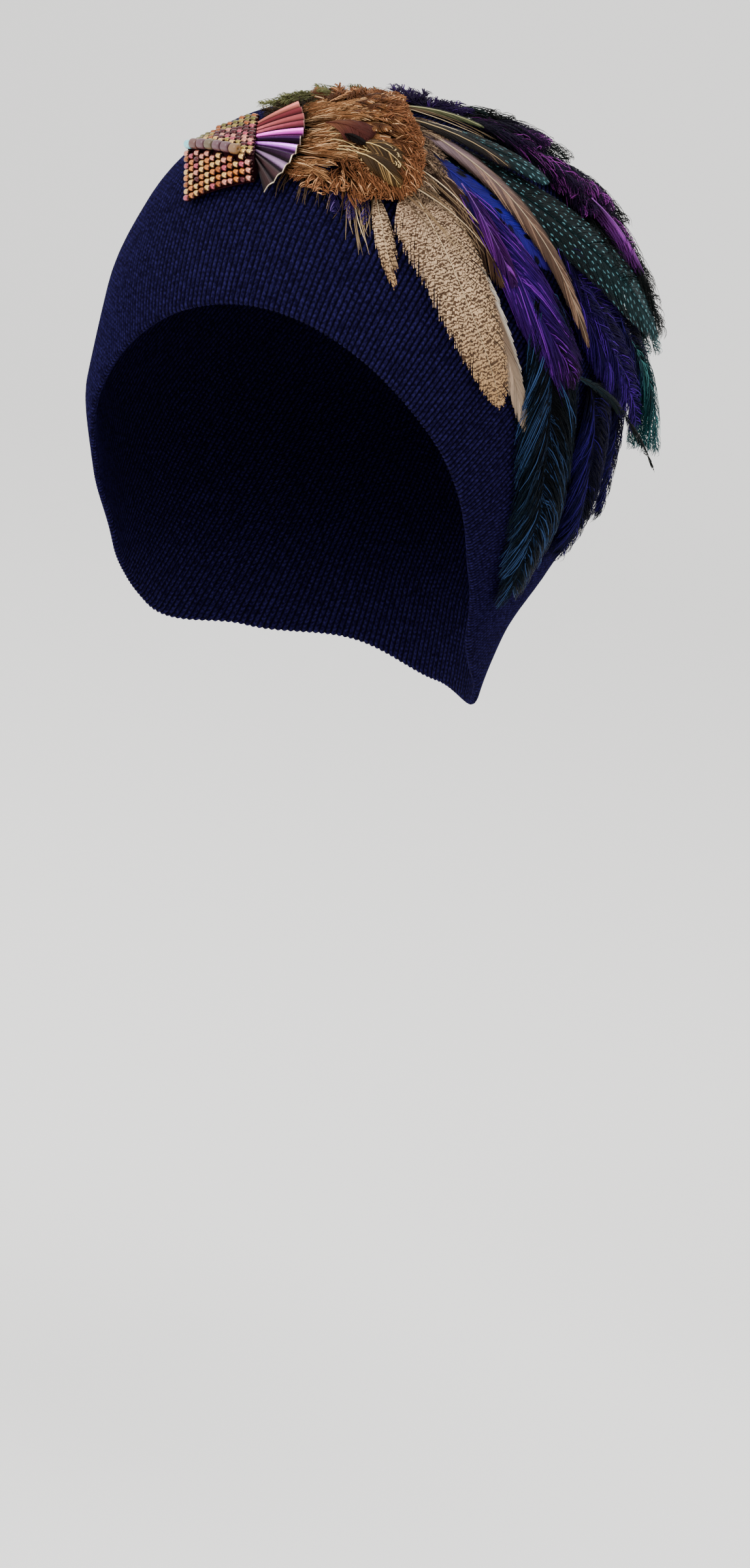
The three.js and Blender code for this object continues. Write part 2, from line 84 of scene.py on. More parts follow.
def add_node(
    tree: Tree,
    kind: str,
    inputs: Mapping[str | int, Any] | None = None,
    stops: Sequence[tuple[float, str]] = (),
    **settings: Any,
) -> bpy.types.Node:
    """Add a node with its settings and links.

    Args:
        tree: Tree that takes the node.
        kind: Identifier of the node's type.
        inputs: Socket name or index, to a value, an output, or a node whose first output feeds it.
        stops: Positions and hex colours of a colour ramp.
        settings: Properties of the node.

    Returns:
        The new node.
    """
    node = tree.nodes.new(kind)
    for key, value in settings.items():
        setattr(node, key, value)
    for key, value in (inputs or {}).items():
        socket = node.inputs[key]
        if isinstance(value, bpy.types.Node):
            value = value.outputs[0]
        if isinstance(value, bpy.types.NodeSocket):
            tree.links.new(value, socket)
        else:
            socket.default_value = value
    for index, (position, colour) in enumerate(stops):
        elements = node.color_ramp.elements
        element = elements[index] if index < len(elements) else elements.new(position)
        element.position = position
        element.color = linear(colour)
    return node


def unit(vectors: Array) -> Array:
    """Scale vectors along the last axis to length one."""
    return vectors / np.maximum(np.linalg.norm(vectors, axis=-1, keepdims=True), 1e-12)


def smooth_curve(xs: Array, ys: Array, x: Array, end_slope: float | None = None) -> Array:
    """Read a smooth curve that keeps the rises of its points.

    Args:
        xs: Places of the points, rising.
        ys: Values at those places.
        x: Where to read the curve.
        end_slope: Slope at both ends, or None for the slope of the first and last stretch.

    Returns:
        The curve's values at x.
    """
    steps = np.diff(xs)
    rises = np.diff(ys) / steps
    product = rises[:-1] * rises[1:]
    total = np.where(product > 0, rises[:-1] + rises[1:], 1.0)
    inner = np.where(product > 0, 2 * product / total, 0.0)
    first = rises[0] if end_slope is None else end_slope
    last = rises[-1] if end_slope is None else end_slope
    slopes = np.concatenate(([first], inner, [last]))
    i = np.clip(np.searchsorted(xs, x, side="left") - 1, 0, len(xs) - 2)
    t = (x - xs[i]) / steps[i]
    t2 = t * t
    t3 = t2 * t
    values = (2 * t3 - 3 * t2 + 1) * ys[i] + (3 * t2 - 2 * t3) * ys[i + 1]
    return values + steps[i] * ((t3 - 2 * t2 + t) * slopes[i] + (t3 - t2) * slopes[i + 1])


def mesh_object(
    name: str,
    points: Array,
    faces: Sequence[Array],
    materials: Sequence[bpy.types.Material],
    marks: Mapping[str, Array] | None = None,
    material_index: Array | None = None,
    smooth: bool = True,
) -> bpy.types.Object:
    """Make a mesh object from arrays.

    Args:
        name: Name of the piece.
        points: Points in millimetres.
        faces: Arrays of corner indices, one array for each number of corners.
        materials: Materials of the piece, in slot order.
        marks: Named values at each point that a finish reads.
        material_index: Slot of each face, in the order of the face arrays.
        smooth: Whether the faces are shaded smooth.

    Returns:
        The linked object, at the origin.
    """
    mesh = bpy.data.meshes.new(name)
    mesh.vertices.add(len(points))
    mesh.vertices.foreach_set("co", (np.asarray(points) * MM).astype(np.float32).ravel())
    corners = np.concatenate([np.asarray(f).ravel() for f in faces]).astype(np.int32)
    sizes = np.concatenate([np.full(len(f), np.asarray(f).shape[1]) for f in faces])
    starts = np.concatenate(([0], np.cumsum(sizes)[:-1])).astype(np.int32)
    mesh.loops.add(len(corners))
    mesh.loops.foreach_set("vertex_index", corners)
    mesh.polygons.add(len(sizes))
    mesh.polygons.foreach_set("loop_start", starts)
    mesh.polygons.foreach_set("use_smooth", np.full(len(sizes), smooth))
    if material_index is not None:
        mesh.polygons.foreach_set("material_index", material_index.astype(np.int32))
    for key, values in (marks or {}).items():
        attribute = mesh.attributes.new(key, "FLOAT", "POINT")
        attribute.data.foreach_set("value", np.asarray(values, np.float32).ravel())
    for material in materials:
        mesh.materials.append(material)
    mesh.update(calc_edges=True)
    mesh.validate()
    piece = bpy.data.objects.new(name, mesh)
    bpy.context.scene.collection.objects.link(piece)
    return piece


def seat(piece: bpy.types.Object, slot: str, *nodes: str) -> bpy.types.Object:
    """Let a finished piece ride on the hat, and stand for the nodes that it replaces.

    Args:
        piece: Finished object at the origin.
        slot: Material slot of the piece; not used.
        nodes: Nodes of the model that the piece stands for.

    Returns:
        The same object.
    """
    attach(piece, BODY)
    if nodes:
        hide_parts(*nodes)
    piece.data.calc_loop_triangles()
    LOG.info("%s: %d triangles", piece.name, len(piece.data.loop_triangles))
    return piece


# Form of the cap and the sheet that the trimmings are laid out on

@dataclass(frozen=True)
class Quill:
    """Line of a shaft on the spray's sheet, with the height of its underside over the cap."""

    root: Place
    mid: Place
    tip: Place
    lift: tuple[float, float, float] = (0.4, 0.4, 0.4)

    def bend(self) -> Array:
        """Control point that takes the line through its middle."""
        return 2 * np.array(self.mid) - (np.array(self.root) + np.array(self.tip)) / 2

    def place(self, t: Array) -> Array:
        """Places along the line. Past the tip it runs straight on.

        Args:
            t: Shares of the way from the root to the tip.

        Returns:
            Places on the sheet, left and down.
        """
        inside = np.clip(t, 0, 1)[..., None]
        past = np.maximum(t - 1, 0)[..., None]
        bend = self.bend()
        root, tip = np.array(self.root), np.array(self.tip)
        on = root * (1 - inside) ** 2 + bend * 2 * inside * (1 - inside) + tip * inside ** 2
        return on + past * 2 * (tip - bend)

    def heading(self, t: Array) -> Array:
        """Unit headings of the line at shares of its length.

        Args:
            t: Shares of the way from the root to the tip.

        Returns:
            Headings on the sheet, left and down.
        """
        inside = np.clip(t, 0, 1)[..., None]
        bend = self.bend()
        root, tip = np.array(self.root), np.array(self.tip)
        return unit((bend - root) * (1 - inside) + (tip - bend) * inside)

    def height(self, t: Array) -> Array:
        """Heights of the line over the cap at shares of its length.

        Args:
            t: Shares of the way from the root to the tip.

        Returns:
            Height at each share.
        """
        inside = np.clip(t, 0, 1)
        low, mid, high = self.lift
        bend = 2 * mid - (low + high) / 2
        return low * (1 - inside) ** 2 + bend * 2 * inside * (1 - inside) + high * inside ** 2

    def length(self) -> float:
        """Length of the line on the sheet."""
        steps = np.diff(self.place(np.linspace(0, 1, 33)), axis=0)
        return float(np.linalg.norm(steps, axis=1).sum())


@dataclass(frozen=True)
class CapForm:
    """Outer face of the cap, from sections at depths below the crown, and its spray sheet."""

    wall: float = 2.4
    crown_to_centre: float = 93.0
    pole_lean: float = 44.0
    # Depth below the crown, half width, and reach to the front and to the back
    sections: tuple[tuple[float, float, float, float], ...] = (
        (0, 0.5, 0.5, 0.5),
        (8, 40, 49, 54),
        (24, 63, 76, 84),
        (48, 77, 92, 101),
        (78, 84, 98, 107),
        (108, 84.5, 97, 97),
        (138, 75, 93, 77),
        (163, 66, 86, 63),
        (188, 63, 78, 58),
        (213, 63, 74, 60),
    )
    # Turn from the front in degrees, and the rim's reach from the pole of the knit
    rim: tuple[tuple[float, float], ...] = (
        (0, 118),
        (45, 124),
        (90, 132),
        (115, 131),
        (140, 120),
        (160, 108),
        (180, 103),
    )
    spray_reach: float = 82.0
    spray_turn: float = 6.0
    spray_radius: float = 95.0
    farthest: float = 190.0
    halvings: int = 24
    heading_step: float = 0.5

    def centre(self) -> Array:
        """Middle of the cap, in the model's frame."""
        return np.array([0.0, 0.0, self.wall - self.crown_to_centre])

    def rim_reach(self, turn: Array) -> Array:
        """Reach of the rim from the knit's pole.

        Args:
            turn: Turns from the front, in degrees.

        Returns:
            Reach at each turn, in degrees.
        """
        table = np.array(self.rim)
        folded = np.minimum(turn % 360, 360 - turn % 360)
        return smooth_curve(table[:, 0], table[:, 1], folded, 0.0)

    def radius(self, directions: Array) -> Array:
        """Distance from the cap's middle to the outer face.

        Args:
            directions: Unit directions from the cap's middle.

        Returns:
            Distance along each direction.
        """
        table = np.array(self.sections)
        roots = np.sqrt(table[:, 0])
        low = np.full(directions.shape[:-1], 1.0)
        high = np.full(directions.shape[:-1], self.farthest)
        for _ in range(self.halvings):
            middle = (low + high) / 2
            point = directions * middle[..., None]
            depth = np.clip(self.crown_to_centre - point[..., 2], 0, table[-1, 0])
            root = np.sqrt(depth)
            half = smooth_curve(roots, table[:, 1], root)
            front = smooth_curve(roots, table[:, 2], root)
            back = smooth_curve(roots, table[:, 3], root)
            reach = np.where(point[..., 1] < 0, front, back)
            inside = (point[..., 0] / half) ** 2 + (point[..., 1] / reach) ** 2 < 1
            inside &= point[..., 2] < self.crown_to_centre
            low = np.where(inside, middle, low)
            high = np.where(inside, high, middle)
        return low

    def over(self, directions: Array, heights: Array | float) -> Array:
        """Points at heights over the outer face along directions from the cap's middle."""
        return directions * (self.radius(directions) + heights)[..., None] + self.centre()

    def from_pole(self, reach: Array, turn: Array) -> Array:
        """Directions at a reach from the knit's pole and a turn from the front.

        Args:
            reach: Reaches from the pole, in degrees.
            turn: Turns from the front, in degrees.

        Returns:
            Unit directions from the cap's middle.
        """
        lean = math.radians(self.pole_lean)
        pole = np.array([0, math.sin(lean), math.cos(lean)])
        front = np.array([0, -math.cos(lean), math.sin(lean)])
        away = np.radians(np.asarray(reach, float))[..., None]
        around = np.radians(np.asarray(turn, float))[..., None]
        side = front * np.cos(around) + np.array([1.0, 0, 0]) * np.sin(around)
        return pole * np.cos(away) + side * np.sin(away)

    def from_spray(self, places: Array) -> Array:
        """Directions of places on the sheet.

        Args:
            places: Places left and down from the sheet's middle.

        Returns:
            Unit directions from the cap's middle.
        """
        middle = self.from_pole(self.spray_reach, self.spray_turn)
        down = self.from_pole(self.spray_reach + 90, self.spray_turn)
        left = np.cross(middle, down)
        distance = np.linalg.norm(places, axis=-1, keepdims=True)
        angle = distance / self.spray_radius
        away = (left * places[..., :1] + down * places[..., 1:]) / np.maximum(distance, 1e-9)
        return middle * np.cos(angle) + away * np.sin(angle)

    def on_spray(self, places: Array, heights: Array | float) -> Array:
        """Points over places of the sheet."""
        return self.over(self.from_spray(np.asarray(places, float)), heights)

    def beside(self, quill: Quill, t: Array, across: Array, height: Array) -> tuple[Array, Array]:
        """Points beside a shaft.

        Args:
            quill: The shaft's line.
            t: Shares of the way along it.
            across: Distances to its side.
            height: Heights over the cap.

        Returns:
            The points, and the outward direction at each.
        """
        place = quill.place(t)
        direction = self.from_spray(place)
        ahead = self.from_spray(place + quill.heading(t) * self.heading_step)
        side = unit(np.cross(direction, ahead))
        middle = direction * self.radius(direction)[..., None]
        toward = unit(middle + side * across[..., None])
        return self.over(toward, height), toward


CAP = CapForm()


# Finishes

MADE: dict[str, bpy.types.Material] = {}


@dataclass(frozen=True)
class Finish:
    """A material, named for what it is made of."""

    name: str

    def material(self) -> bpy.types.Material:
        """Give the material, made once.

        Returns:
            The material with its nodes.
        """
        if self.name not in MADE:
            material = bpy.data.materials.new(self.name)
            material.use_nodes = True
            self.dress(material.node_tree, material.node_tree.nodes["Principled BSDF"])
            MADE[self.name] = material
        return MADE[self.name]

    def dress(self, tree: Tree, shader: bpy.types.Node) -> None:
        """Fill in the shader's colour, gloss and relief.

        Args:
            tree: The material's nodes.
            shader: Its surface shader.
        """
        raise NotImplementedError


@dataclass(frozen=True)
class RibKnit(Finish):
    """Fine acrylic rib knit: matte yarn with a soft bloom, and painted shade in the grooves between wales
    and at stitch ends.
    """

    yarn: str = "#0a0622"
    bloom: str = "#1d1844"
    # Painted shade of the grooves between wales and of the stitch ends
    groove: str = "#030209"
    course: float = 1.5
    fibre: float = 0.35
    loop: float = 1.1
    relief: float = 0.35
    relief_strength: float = 0.9
    fuzz: float = 0.12
    fuzz_strength: float = 0.6
    # Where the noise turns from yarn to bloom, where a wale's painted groove shade gives way to its crest,
    # and how bright a stitch stays under its painted shade at its ends and its middle
    bloom_range: tuple[float, float] = (0.35, 0.68)
    groove_shade_range: tuple[float, float] = (0.1, 0.62)
    painted_stitch_shade: tuple[float, float] = (0.4, 1.1)
    roughness: float = 0.92
    specular: float = 0.03

    def dress(self, tree: Tree, shader: bpy.types.Node) -> None:
        """Colour the wales, paint shade into the grooves and the stitch ends, and raise the stitches.

        Args:
            tree: The material's nodes.
            shader: Its surface shader.
        """
        rib = add_node(tree, "ShaderNodeAttribute", attribute_name="rib").outputs["Fac"]
        along = add_node(tree, "ShaderNodeAttribute", attribute_name="course").outputs["Fac"]
        wale = add_node(tree, "ShaderNodeMath", {0: rib, 1: 0.5}, operation="PINGPONG")
        crest = add_node(tree, "ShaderNodeMath", {0: wale, 1: 2.0}, operation="MULTIPLY")
        count = add_node(tree, "ShaderNodeMath", {0: along, 1: self.course}, operation="DIVIDE")
        phase = add_node(tree, "ShaderNodeMath", {0: count, 1: wale})
        loop = add_node(tree, "ShaderNodeMath", {0: phase, 1: 0.5}, operation="PINGPONG")
        stitch = add_node(tree, "ShaderNodeMapRange", {"Value": loop, "From Max": 0.5})
        where = add_node(tree, "ShaderNodeTexCoord").outputs["Object"]
        fuzz = add_node(
            tree, "ShaderNodeTexNoise", {"Vector": where, "Scale": 1 / (self.fibre * MM), "Detail": 3.0},
        )
        # Loops vary one by one
        patch = add_node(
            tree, "ShaderNodeTexNoise", {"Vector": where, "Scale": 1 / (self.loop * MM), "Detail": 1.0},
        )
        uneven = add_node(
            tree, "ShaderNodeMapRange",
            {
                "Value": patch.outputs["Fac"], "From Min": self.bloom_range[0],
                "From Max": self.bloom_range[1],
            },
        )
        lit = add_node(
            tree, "ShaderNodeMix",
            {"Factor": uneven, MIX_UNDER: linear(self.yarn), MIX_OVER: linear(self.bloom)},
            data_type="RGBA",
        )
        height = add_node(tree, "ShaderNodeMath", {0: stitch, 1: crest}, operation="MULTIPLY")
        # Painted shade: the grooves and the ends of each stitch mix towards the near-black groove colour
        depth = add_node(
            tree, "ShaderNodeValToRGB",
            {"Fac": crest},
            stops=tuple(zip(self.groove_shade_range, ("#000000", "#ffffff"))),
        )
        shade = add_node(
            tree, "ShaderNodeMapRange",
            {"Value": stitch, "To Min": self.painted_stitch_shade[0], "To Max": self.painted_stitch_shade[1]},
        )
        fill = add_node(tree, "ShaderNodeMath", {0: depth, 1: shade}, operation="MULTIPLY")
        colour = add_node(
            tree, "ShaderNodeMix",
            {"Factor": fill, MIX_UNDER: linear(self.groove), MIX_OVER: lit.outputs[2]},
            data_type="RGBA",
        )
        tree.links.new(colour.outputs[2], shader.inputs["Base Color"])
        loops = add_node(
            tree, "ShaderNodeBump",
            {"Height": height, "Distance": self.relief * MM, "Strength": self.relief_strength},
        )
        bump = add_node(
            tree, "ShaderNodeBump",
            {
                "Height": fuzz.outputs["Fac"], "Distance": self.fuzz * MM, "Strength": self.fuzz_strength,
                "Normal": loops,
            },
        )
        tree.links.new(bump.outputs[0], shader.inputs["Normal"])
        shader.inputs["Roughness"].default_value = self.roughness
        shader.inputs["Specular IOR Level"].default_value = self.specular


class Mark(Enum):
    """Patterns that a vane can carry."""

    PLAIN = "plain"
    BARRED = "barred"
    SPOTTED = "spotted"
    BLOTCHED = "blotched"
    SCALED = "scaled"


@dataclass(frozen=True)
class SpotForm:
    """Size of a spot in millimetres, wider towards the tip, and how far its row strays."""

    stray: float
    half_length: float
    half_width: float
    tip_half_width: float
    # Setback from the shaft outwards, a cell's width, the stretch that widens, and the soft edge
    setback: float = -0.7
    cell_width: float = 0.8
    widens: tuple[float, float] = (0.45, 0.95)
    soft_edge: tuple[float, float] = (0.75, 1.1)


DASH = SpotForm(0.5, 0.75, 0.24, 0.5)
BLOTCH = SpotForm(0.85, 1.5, 1.0, 1.0)
# Length over which a band texture of scale one repeats
BAND_PERIOD = 0.314


@dataclass(frozen=True)
class Plumage(Finish):
    """Keratin barbs: satin along each barb, tinted from shaft to edge, varying barb by barb, some lighter
    with a painted glint.
    """

    root: str = "#404040"
    body: str = "#606060"
    tip: str = "#606060"
    edge: str = "#606060"
    shaft: str = "#d8c8a8"
    mark: Mark = Mark.PLAIN
    ink: str = "#201810"
    pitch: float = 1.2
    edge_from: float = 0.5
    edge_side: float = 0.0
    # Lighter colour of the barbs of high tone: partly their own paler colour, partly a painted glint
    streak_and_glint: str = ""
    streak_and_glint_from: float = 0.75
    streak_and_glint_share: float = 0.85
    contrast: float = 0.35
    roughness: float = 0.5
    specular: float = 0.05
    # Shares of the length at which the root's, the body's and the tip's colours lie
    stretches: tuple[float, float, float] = (0.08, 0.55, 0.95)
    bar_edge: tuple[float, float] = (0.35, 0.75)
    scale_edge: tuple[float, float] = (0.5, 0.9)
    scale_ink: float = 0.85

    def dress(self, tree: Tree, shader: bpy.types.Node) -> None:
        """Colour the barbs along the feather and outwards, with the pattern, the painted glint on some barbs
        and the shaft.

        Args:
            tree: The material's nodes.
            shader: Its surface shader.
        """
        read = {
            key: add_node(tree, "ShaderNodeAttribute", attribute_name=key).outputs["Fac"]
            for key in ("along", "across", "down", "out", "tone", "shaft")
        }
        length = add_node(
            tree, "ShaderNodeValToRGB",
            {"Fac": read["down"]},
            stops=tuple(zip(self.stretches, (self.root, self.body, self.tip))),
        )
        edged = add_node(
            tree, "ShaderNodeMapRange",
            {"Value": read["out"], "From Min": self.edge_from, "From Max": 1.0},
            interpolation_type="SMOOTHSTEP",
        )
        if self.edge_side:
            # Only the barbs on one side of the shaft take the edge colour
            side = add_node(
                tree, "ShaderNodeMath", {0: read["across"], 1: self.edge_side}, operation="MULTIPLY",
            )
            near = add_node(tree, "ShaderNodeMath", {0: side, 1: 0.0}, operation="GREATER_THAN")
            edged = add_node(tree, "ShaderNodeMath", {0: edged, 1: near}, operation="MULTIPLY")
        vane = add_node(
            tree, "ShaderNodeMix",
            {"Factor": edged, MIX_UNDER: length, MIX_OVER: linear(self.edge)},
            data_type="RGBA",
        )
        tinted = self.pattern(tree, read, vane.outputs[2])
        # Painted glint, partly real paler barbs: barbs of high tone mix towards the lighter streak colour
        if self.streak_and_glint:
            bright = add_node(
                tree, "ShaderNodeMapRange",
                {
                    "Value": read["tone"], "From Min": self.streak_and_glint_from, "From Max": 1.0,
                    "To Max": self.streak_and_glint_share,
                },
                interpolation_type="SMOOTHSTEP",
            )
            streaked_and_glinted = add_node(
                tree, "ShaderNodeMix",
                {"Factor": bright, MIX_UNDER: tinted, MIX_OVER: linear(self.streak_and_glint)},
                data_type="RGBA",
            )
            tinted = streaked_and_glinted.outputs[2]
        value = add_node(
            tree, "ShaderNodeMapRange",
            {"Value": read["tone"], "To Min": 1 - self.contrast, "To Max": 1 + self.contrast},
        )
        varied = add_node(tree, "ShaderNodeHueSaturation", {"Value": value, "Color": tinted})
        colour = add_node(
            tree, "ShaderNodeMix",
            {"Factor": read["shaft"], MIX_UNDER: varied, MIX_OVER: linear(self.shaft)},
            data_type="RGBA",
        )
        tree.links.new(colour.outputs[2], shader.inputs["Base Color"])
        shader.inputs["Roughness"].default_value = self.roughness
        shader.inputs["Specular IOR Level"].default_value = self.specular

    def pattern(self, tree: Tree, read: Mapping[str, Any], vane: Any) -> Any:
        """Lay the pattern's ink over the vane's colour.

        Args:
            tree: The material's nodes.
            read: Outputs of the values kept at each point.
            vane: Output with the vane's own colour.

        Returns:
            Output with the patterned colour.
        """
        if self.mark is Mark.PLAIN:
            return vane
        flat = add_node(tree, "ShaderNodeCombineXYZ", {"X": read["along"], "Y": read["across"]})
        if self.mark is Mark.BARRED:
            # The real lines lie under a millimetre apart and are drawn coarser so that they show
            wave = add_node(
                tree, "ShaderNodeTexWave",
                {
                    "Vector": flat, "Scale": BAND_PERIOD / self.pitch, "Distortion": 9.0, "Detail": 2.0,
                    "Detail Scale": 2.6,
                },
                bands_direction="X",
            )
            spread = tuple(zip(self.bar_edge, ("#000000", "#ffffff")))
            amount = add_node(tree, "ShaderNodeValToRGB", {"Fac": wave.outputs["Fac"]}, stops=spread)
        elif self.mark is Mark.SCALED:
            ramp = add_node(
                tree, "ShaderNodeMath", {0: read["out"], 1: read["down"]}, operation="MAXIMUM",
            )
            amount = add_node(
                tree, "ShaderNodeMapRange",
                {
                    "Value": ramp, "From Min": self.scale_edge[0], "From Max": self.scale_edge[1],
                    "To Min": self.scale_ink, "To Max": 0.0,
                },
                interpolation_type="SMOOTHSTEP",
            )
        else:
            amount = self.spots(tree, read)
        inked = add_node(
            tree, "ShaderNodeMix",
            {"Factor": amount, MIX_UNDER: vane, MIX_OVER: linear(self.ink)},
            data_type="RGBA",
        )
        return inked.outputs[2]

    def spots(self, tree: Tree, read: Mapping[str, Any]) -> bpy.types.Node:
        """Find the spots: loose rows of dashes that round off near the tip, or a few large blotches.

        Args:
            tree: The material's nodes.
            read: Outputs of the values kept at each point.

        Returns:
            Node whose output is one inside a spot.
        """
        form = DASH if self.mark is Mark.SPOTTED else BLOTCH
        side = add_node(tree, "ShaderNodeMath", {0: read["across"]}, operation="ABSOLUTE")
        lag = add_node(
            tree, "ShaderNodeMath",
            {0: side, 1: form.setback, 2: read["along"]},
            operation="MULTIPLY_ADD",
        )
        sheet = add_node(tree, "ShaderNodeCombineXYZ", {"X": lag, "Y": read["across"]})
        cell = (self.pitch, self.pitch * form.cell_width, 1.0)
        scaled = add_node(tree, "ShaderNodeVectorMath", {0: sheet, 1: cell}, operation="DIVIDE")
        cells = add_node(
            tree, "ShaderNodeTexVoronoi",
            {"Vector": scaled, "Scale": 1.0, "Randomness": form.stray},
            voronoi_dimensions="2D",
        )
        away = add_node(
            tree, "ShaderNodeVectorMath", {0: scaled, 1: cells.outputs["Position"]}, operation="SUBTRACT",
        )
        real = add_node(tree, "ShaderNodeVectorMath", {0: away, 1: cell}, operation="MULTIPLY")
        wide = add_node(
            tree, "ShaderNodeMapRange",
            {
                "Value": read["down"], "From Min": form.widens[0], "From Max": form.widens[1],
                "To Min": form.half_width, "To Max": form.tip_half_width,
            },
        )
        size = add_node(tree, "ShaderNodeCombineXYZ", {"X": form.half_length, "Y": wide, "Z": 1.0})
        share = add_node(tree, "ShaderNodeVectorMath", {0: real, 1: size}, operation="DIVIDE")
        reach = add_node(tree, "ShaderNodeVectorMath", {0: share}, operation="LENGTH")
        return add_node(
            tree, "ShaderNodeMapRange",
            {
                "Value": reach.outputs["Value"], "From Min": form.soft_edge[0],
                "From Max": form.soft_edge[1], "To Min": 1.0, "To Max": 0.0,
            },
        )


@dataclass(frozen=True)
class SeedGlass(Finish):
    """Metal-lined glass seed beads: mirror-bright in golds, coppers, pinks and burgundy, with painted shade
    round each bead.
    """

    palette: tuple[str, ...] = ("#e8c07a",)
    # Painted shade at the ends and the underside of each bead
    rim: str = "#340e0a"
    painted_shade_range: tuple[float, float] = (0.1, 0.9)
    metallic: float = 0.75
    roughness: float = 0.24
    coat: float = 0.25
    coat_roughness: float = 0.05

    def dress(self, tree: Tree, shader: bpy.types.Node) -> None:
        """Pick each bead's colour from the palette by its tint, and paint shade towards its ends and
        underside.

        Args:
            tree: The material's nodes.
            shader: Its surface shader.
        """
        tint = add_node(tree, "ShaderNodeAttribute", attribute_name="tint").outputs["Fac"]
        stops = [(i / len(self.palette), colour) for i, colour in enumerate(self.palette)]
        ramp = add_node(tree, "ShaderNodeValToRGB", {"Fac": tint}, stops=stops)
        ramp.color_ramp.interpolation = "CONSTANT"
        # Painted shade: the rim mark darkens each bead towards its ends and its underside
        rim = add_node(tree, "ShaderNodeAttribute", attribute_name="rim").outputs["Fac"]
        edge = add_node(
            tree, "ShaderNodeMapRange",
            {"Value": rim, "From Min": self.painted_shade_range[0], "From Max": self.painted_shade_range[1]},
            interpolation_type="SMOOTHSTEP",
        )
        colour = add_node(
            tree, "ShaderNodeMix",
            {"Factor": edge, MIX_UNDER: ramp, MIX_OVER: linear(self.rim)},
            data_type="RGBA",
        )
        tree.links.new(colour.outputs[2], shader.inputs["Base Color"])
        shader.inputs["Metallic"].default_value = self.metallic
        shader.inputs["Roughness"].default_value = self.roughness
        shader.inputs["Coat Weight"].default_value = self.coat
        shader.inputs["Coat Roughness"].default_value = self.coat_roughness


@dataclass(frozen=True)
class FrostedGlass(Finish):
    """Matte glass bead: even satin colour with a little cloudiness."""

    colour: str = "#7b5a54"
    cloud: str = "#98766a"
    roughness: float = 0.42
    coat: float = 0.15
    cloud_size: float = 10 / 9

    def dress(self, tree: Tree, shader: bpy.types.Node) -> None:
        """Cloud the colour a little.

        Args:
            tree: The material's nodes.
            shader: Its surface shader.
        """
        where = add_node(tree, "ShaderNodeTexCoord").outputs["Object"]
        cloud = add_node(
            tree, "ShaderNodeTexNoise",
            {"Vector": where, "Scale": 1 / (self.cloud_size * MM), "Detail": 2.0},
        )
        colour = add_node(
            tree, "ShaderNodeMix",
            {
                "Factor": cloud.outputs["Fac"], MIX_UNDER: linear(self.colour),
                MIX_OVER: linear(self.cloud),
            },
            data_type="RGBA",
        )
        tree.links.new(colour.outputs[2], shader.inputs["Base Color"])
        shader.inputs["Roughness"].default_value = self.roughness
        shader.inputs["Coat Weight"].default_value = self.coat


@dataclass(frozen=True)
class Felt(Finish):
    """Stiff felt backing: dark, matte and fibrous."""

    colour: str = "#16040a"
    fleck: str = "#2a0a12"
    fibre: float = 0.5
    relief: float = 0.2
    relief_strength: float = 0.7
    roughness: float = 0.9
    specular: float = 0.05

    def dress(self, tree: Tree, shader: bpy.types.Node) -> None:
        """Mottle the felt and roughen it.

        Args:
            tree: The material's nodes.
            shader: Its surface shader.
        """
        where = add_node(tree, "ShaderNodeTexCoord").outputs["Object"]
        fibre = add_node(
            tree, "ShaderNodeTexNoise", {"Vector": where, "Scale": 1 / (self.fibre * MM), "Detail": 4.0},
        )
        colour = add_node(
            tree, "ShaderNodeMix",
            {
                "Factor": fibre.outputs["Fac"], MIX_UNDER: linear(self.colour),
                MIX_OVER: linear(self.fleck),
            },
            data_type="RGBA",
        )
        tree.links.new(colour.outputs[2], shader.inputs["Base Color"])
        bump = add_node(
            tree, "ShaderNodeBump",
            {
                "Height": fibre.outputs["Fac"], "Distance": self.relief * MM,
                "Strength": self.relief_strength,
            },
        )
        tree.links.new(bump.outputs[0], shader.inputs["Normal"])
        shader.inputs["Roughness"].default_value = self.roughness
        shader.inputs["Specular IOR Level"].default_value = self.specular


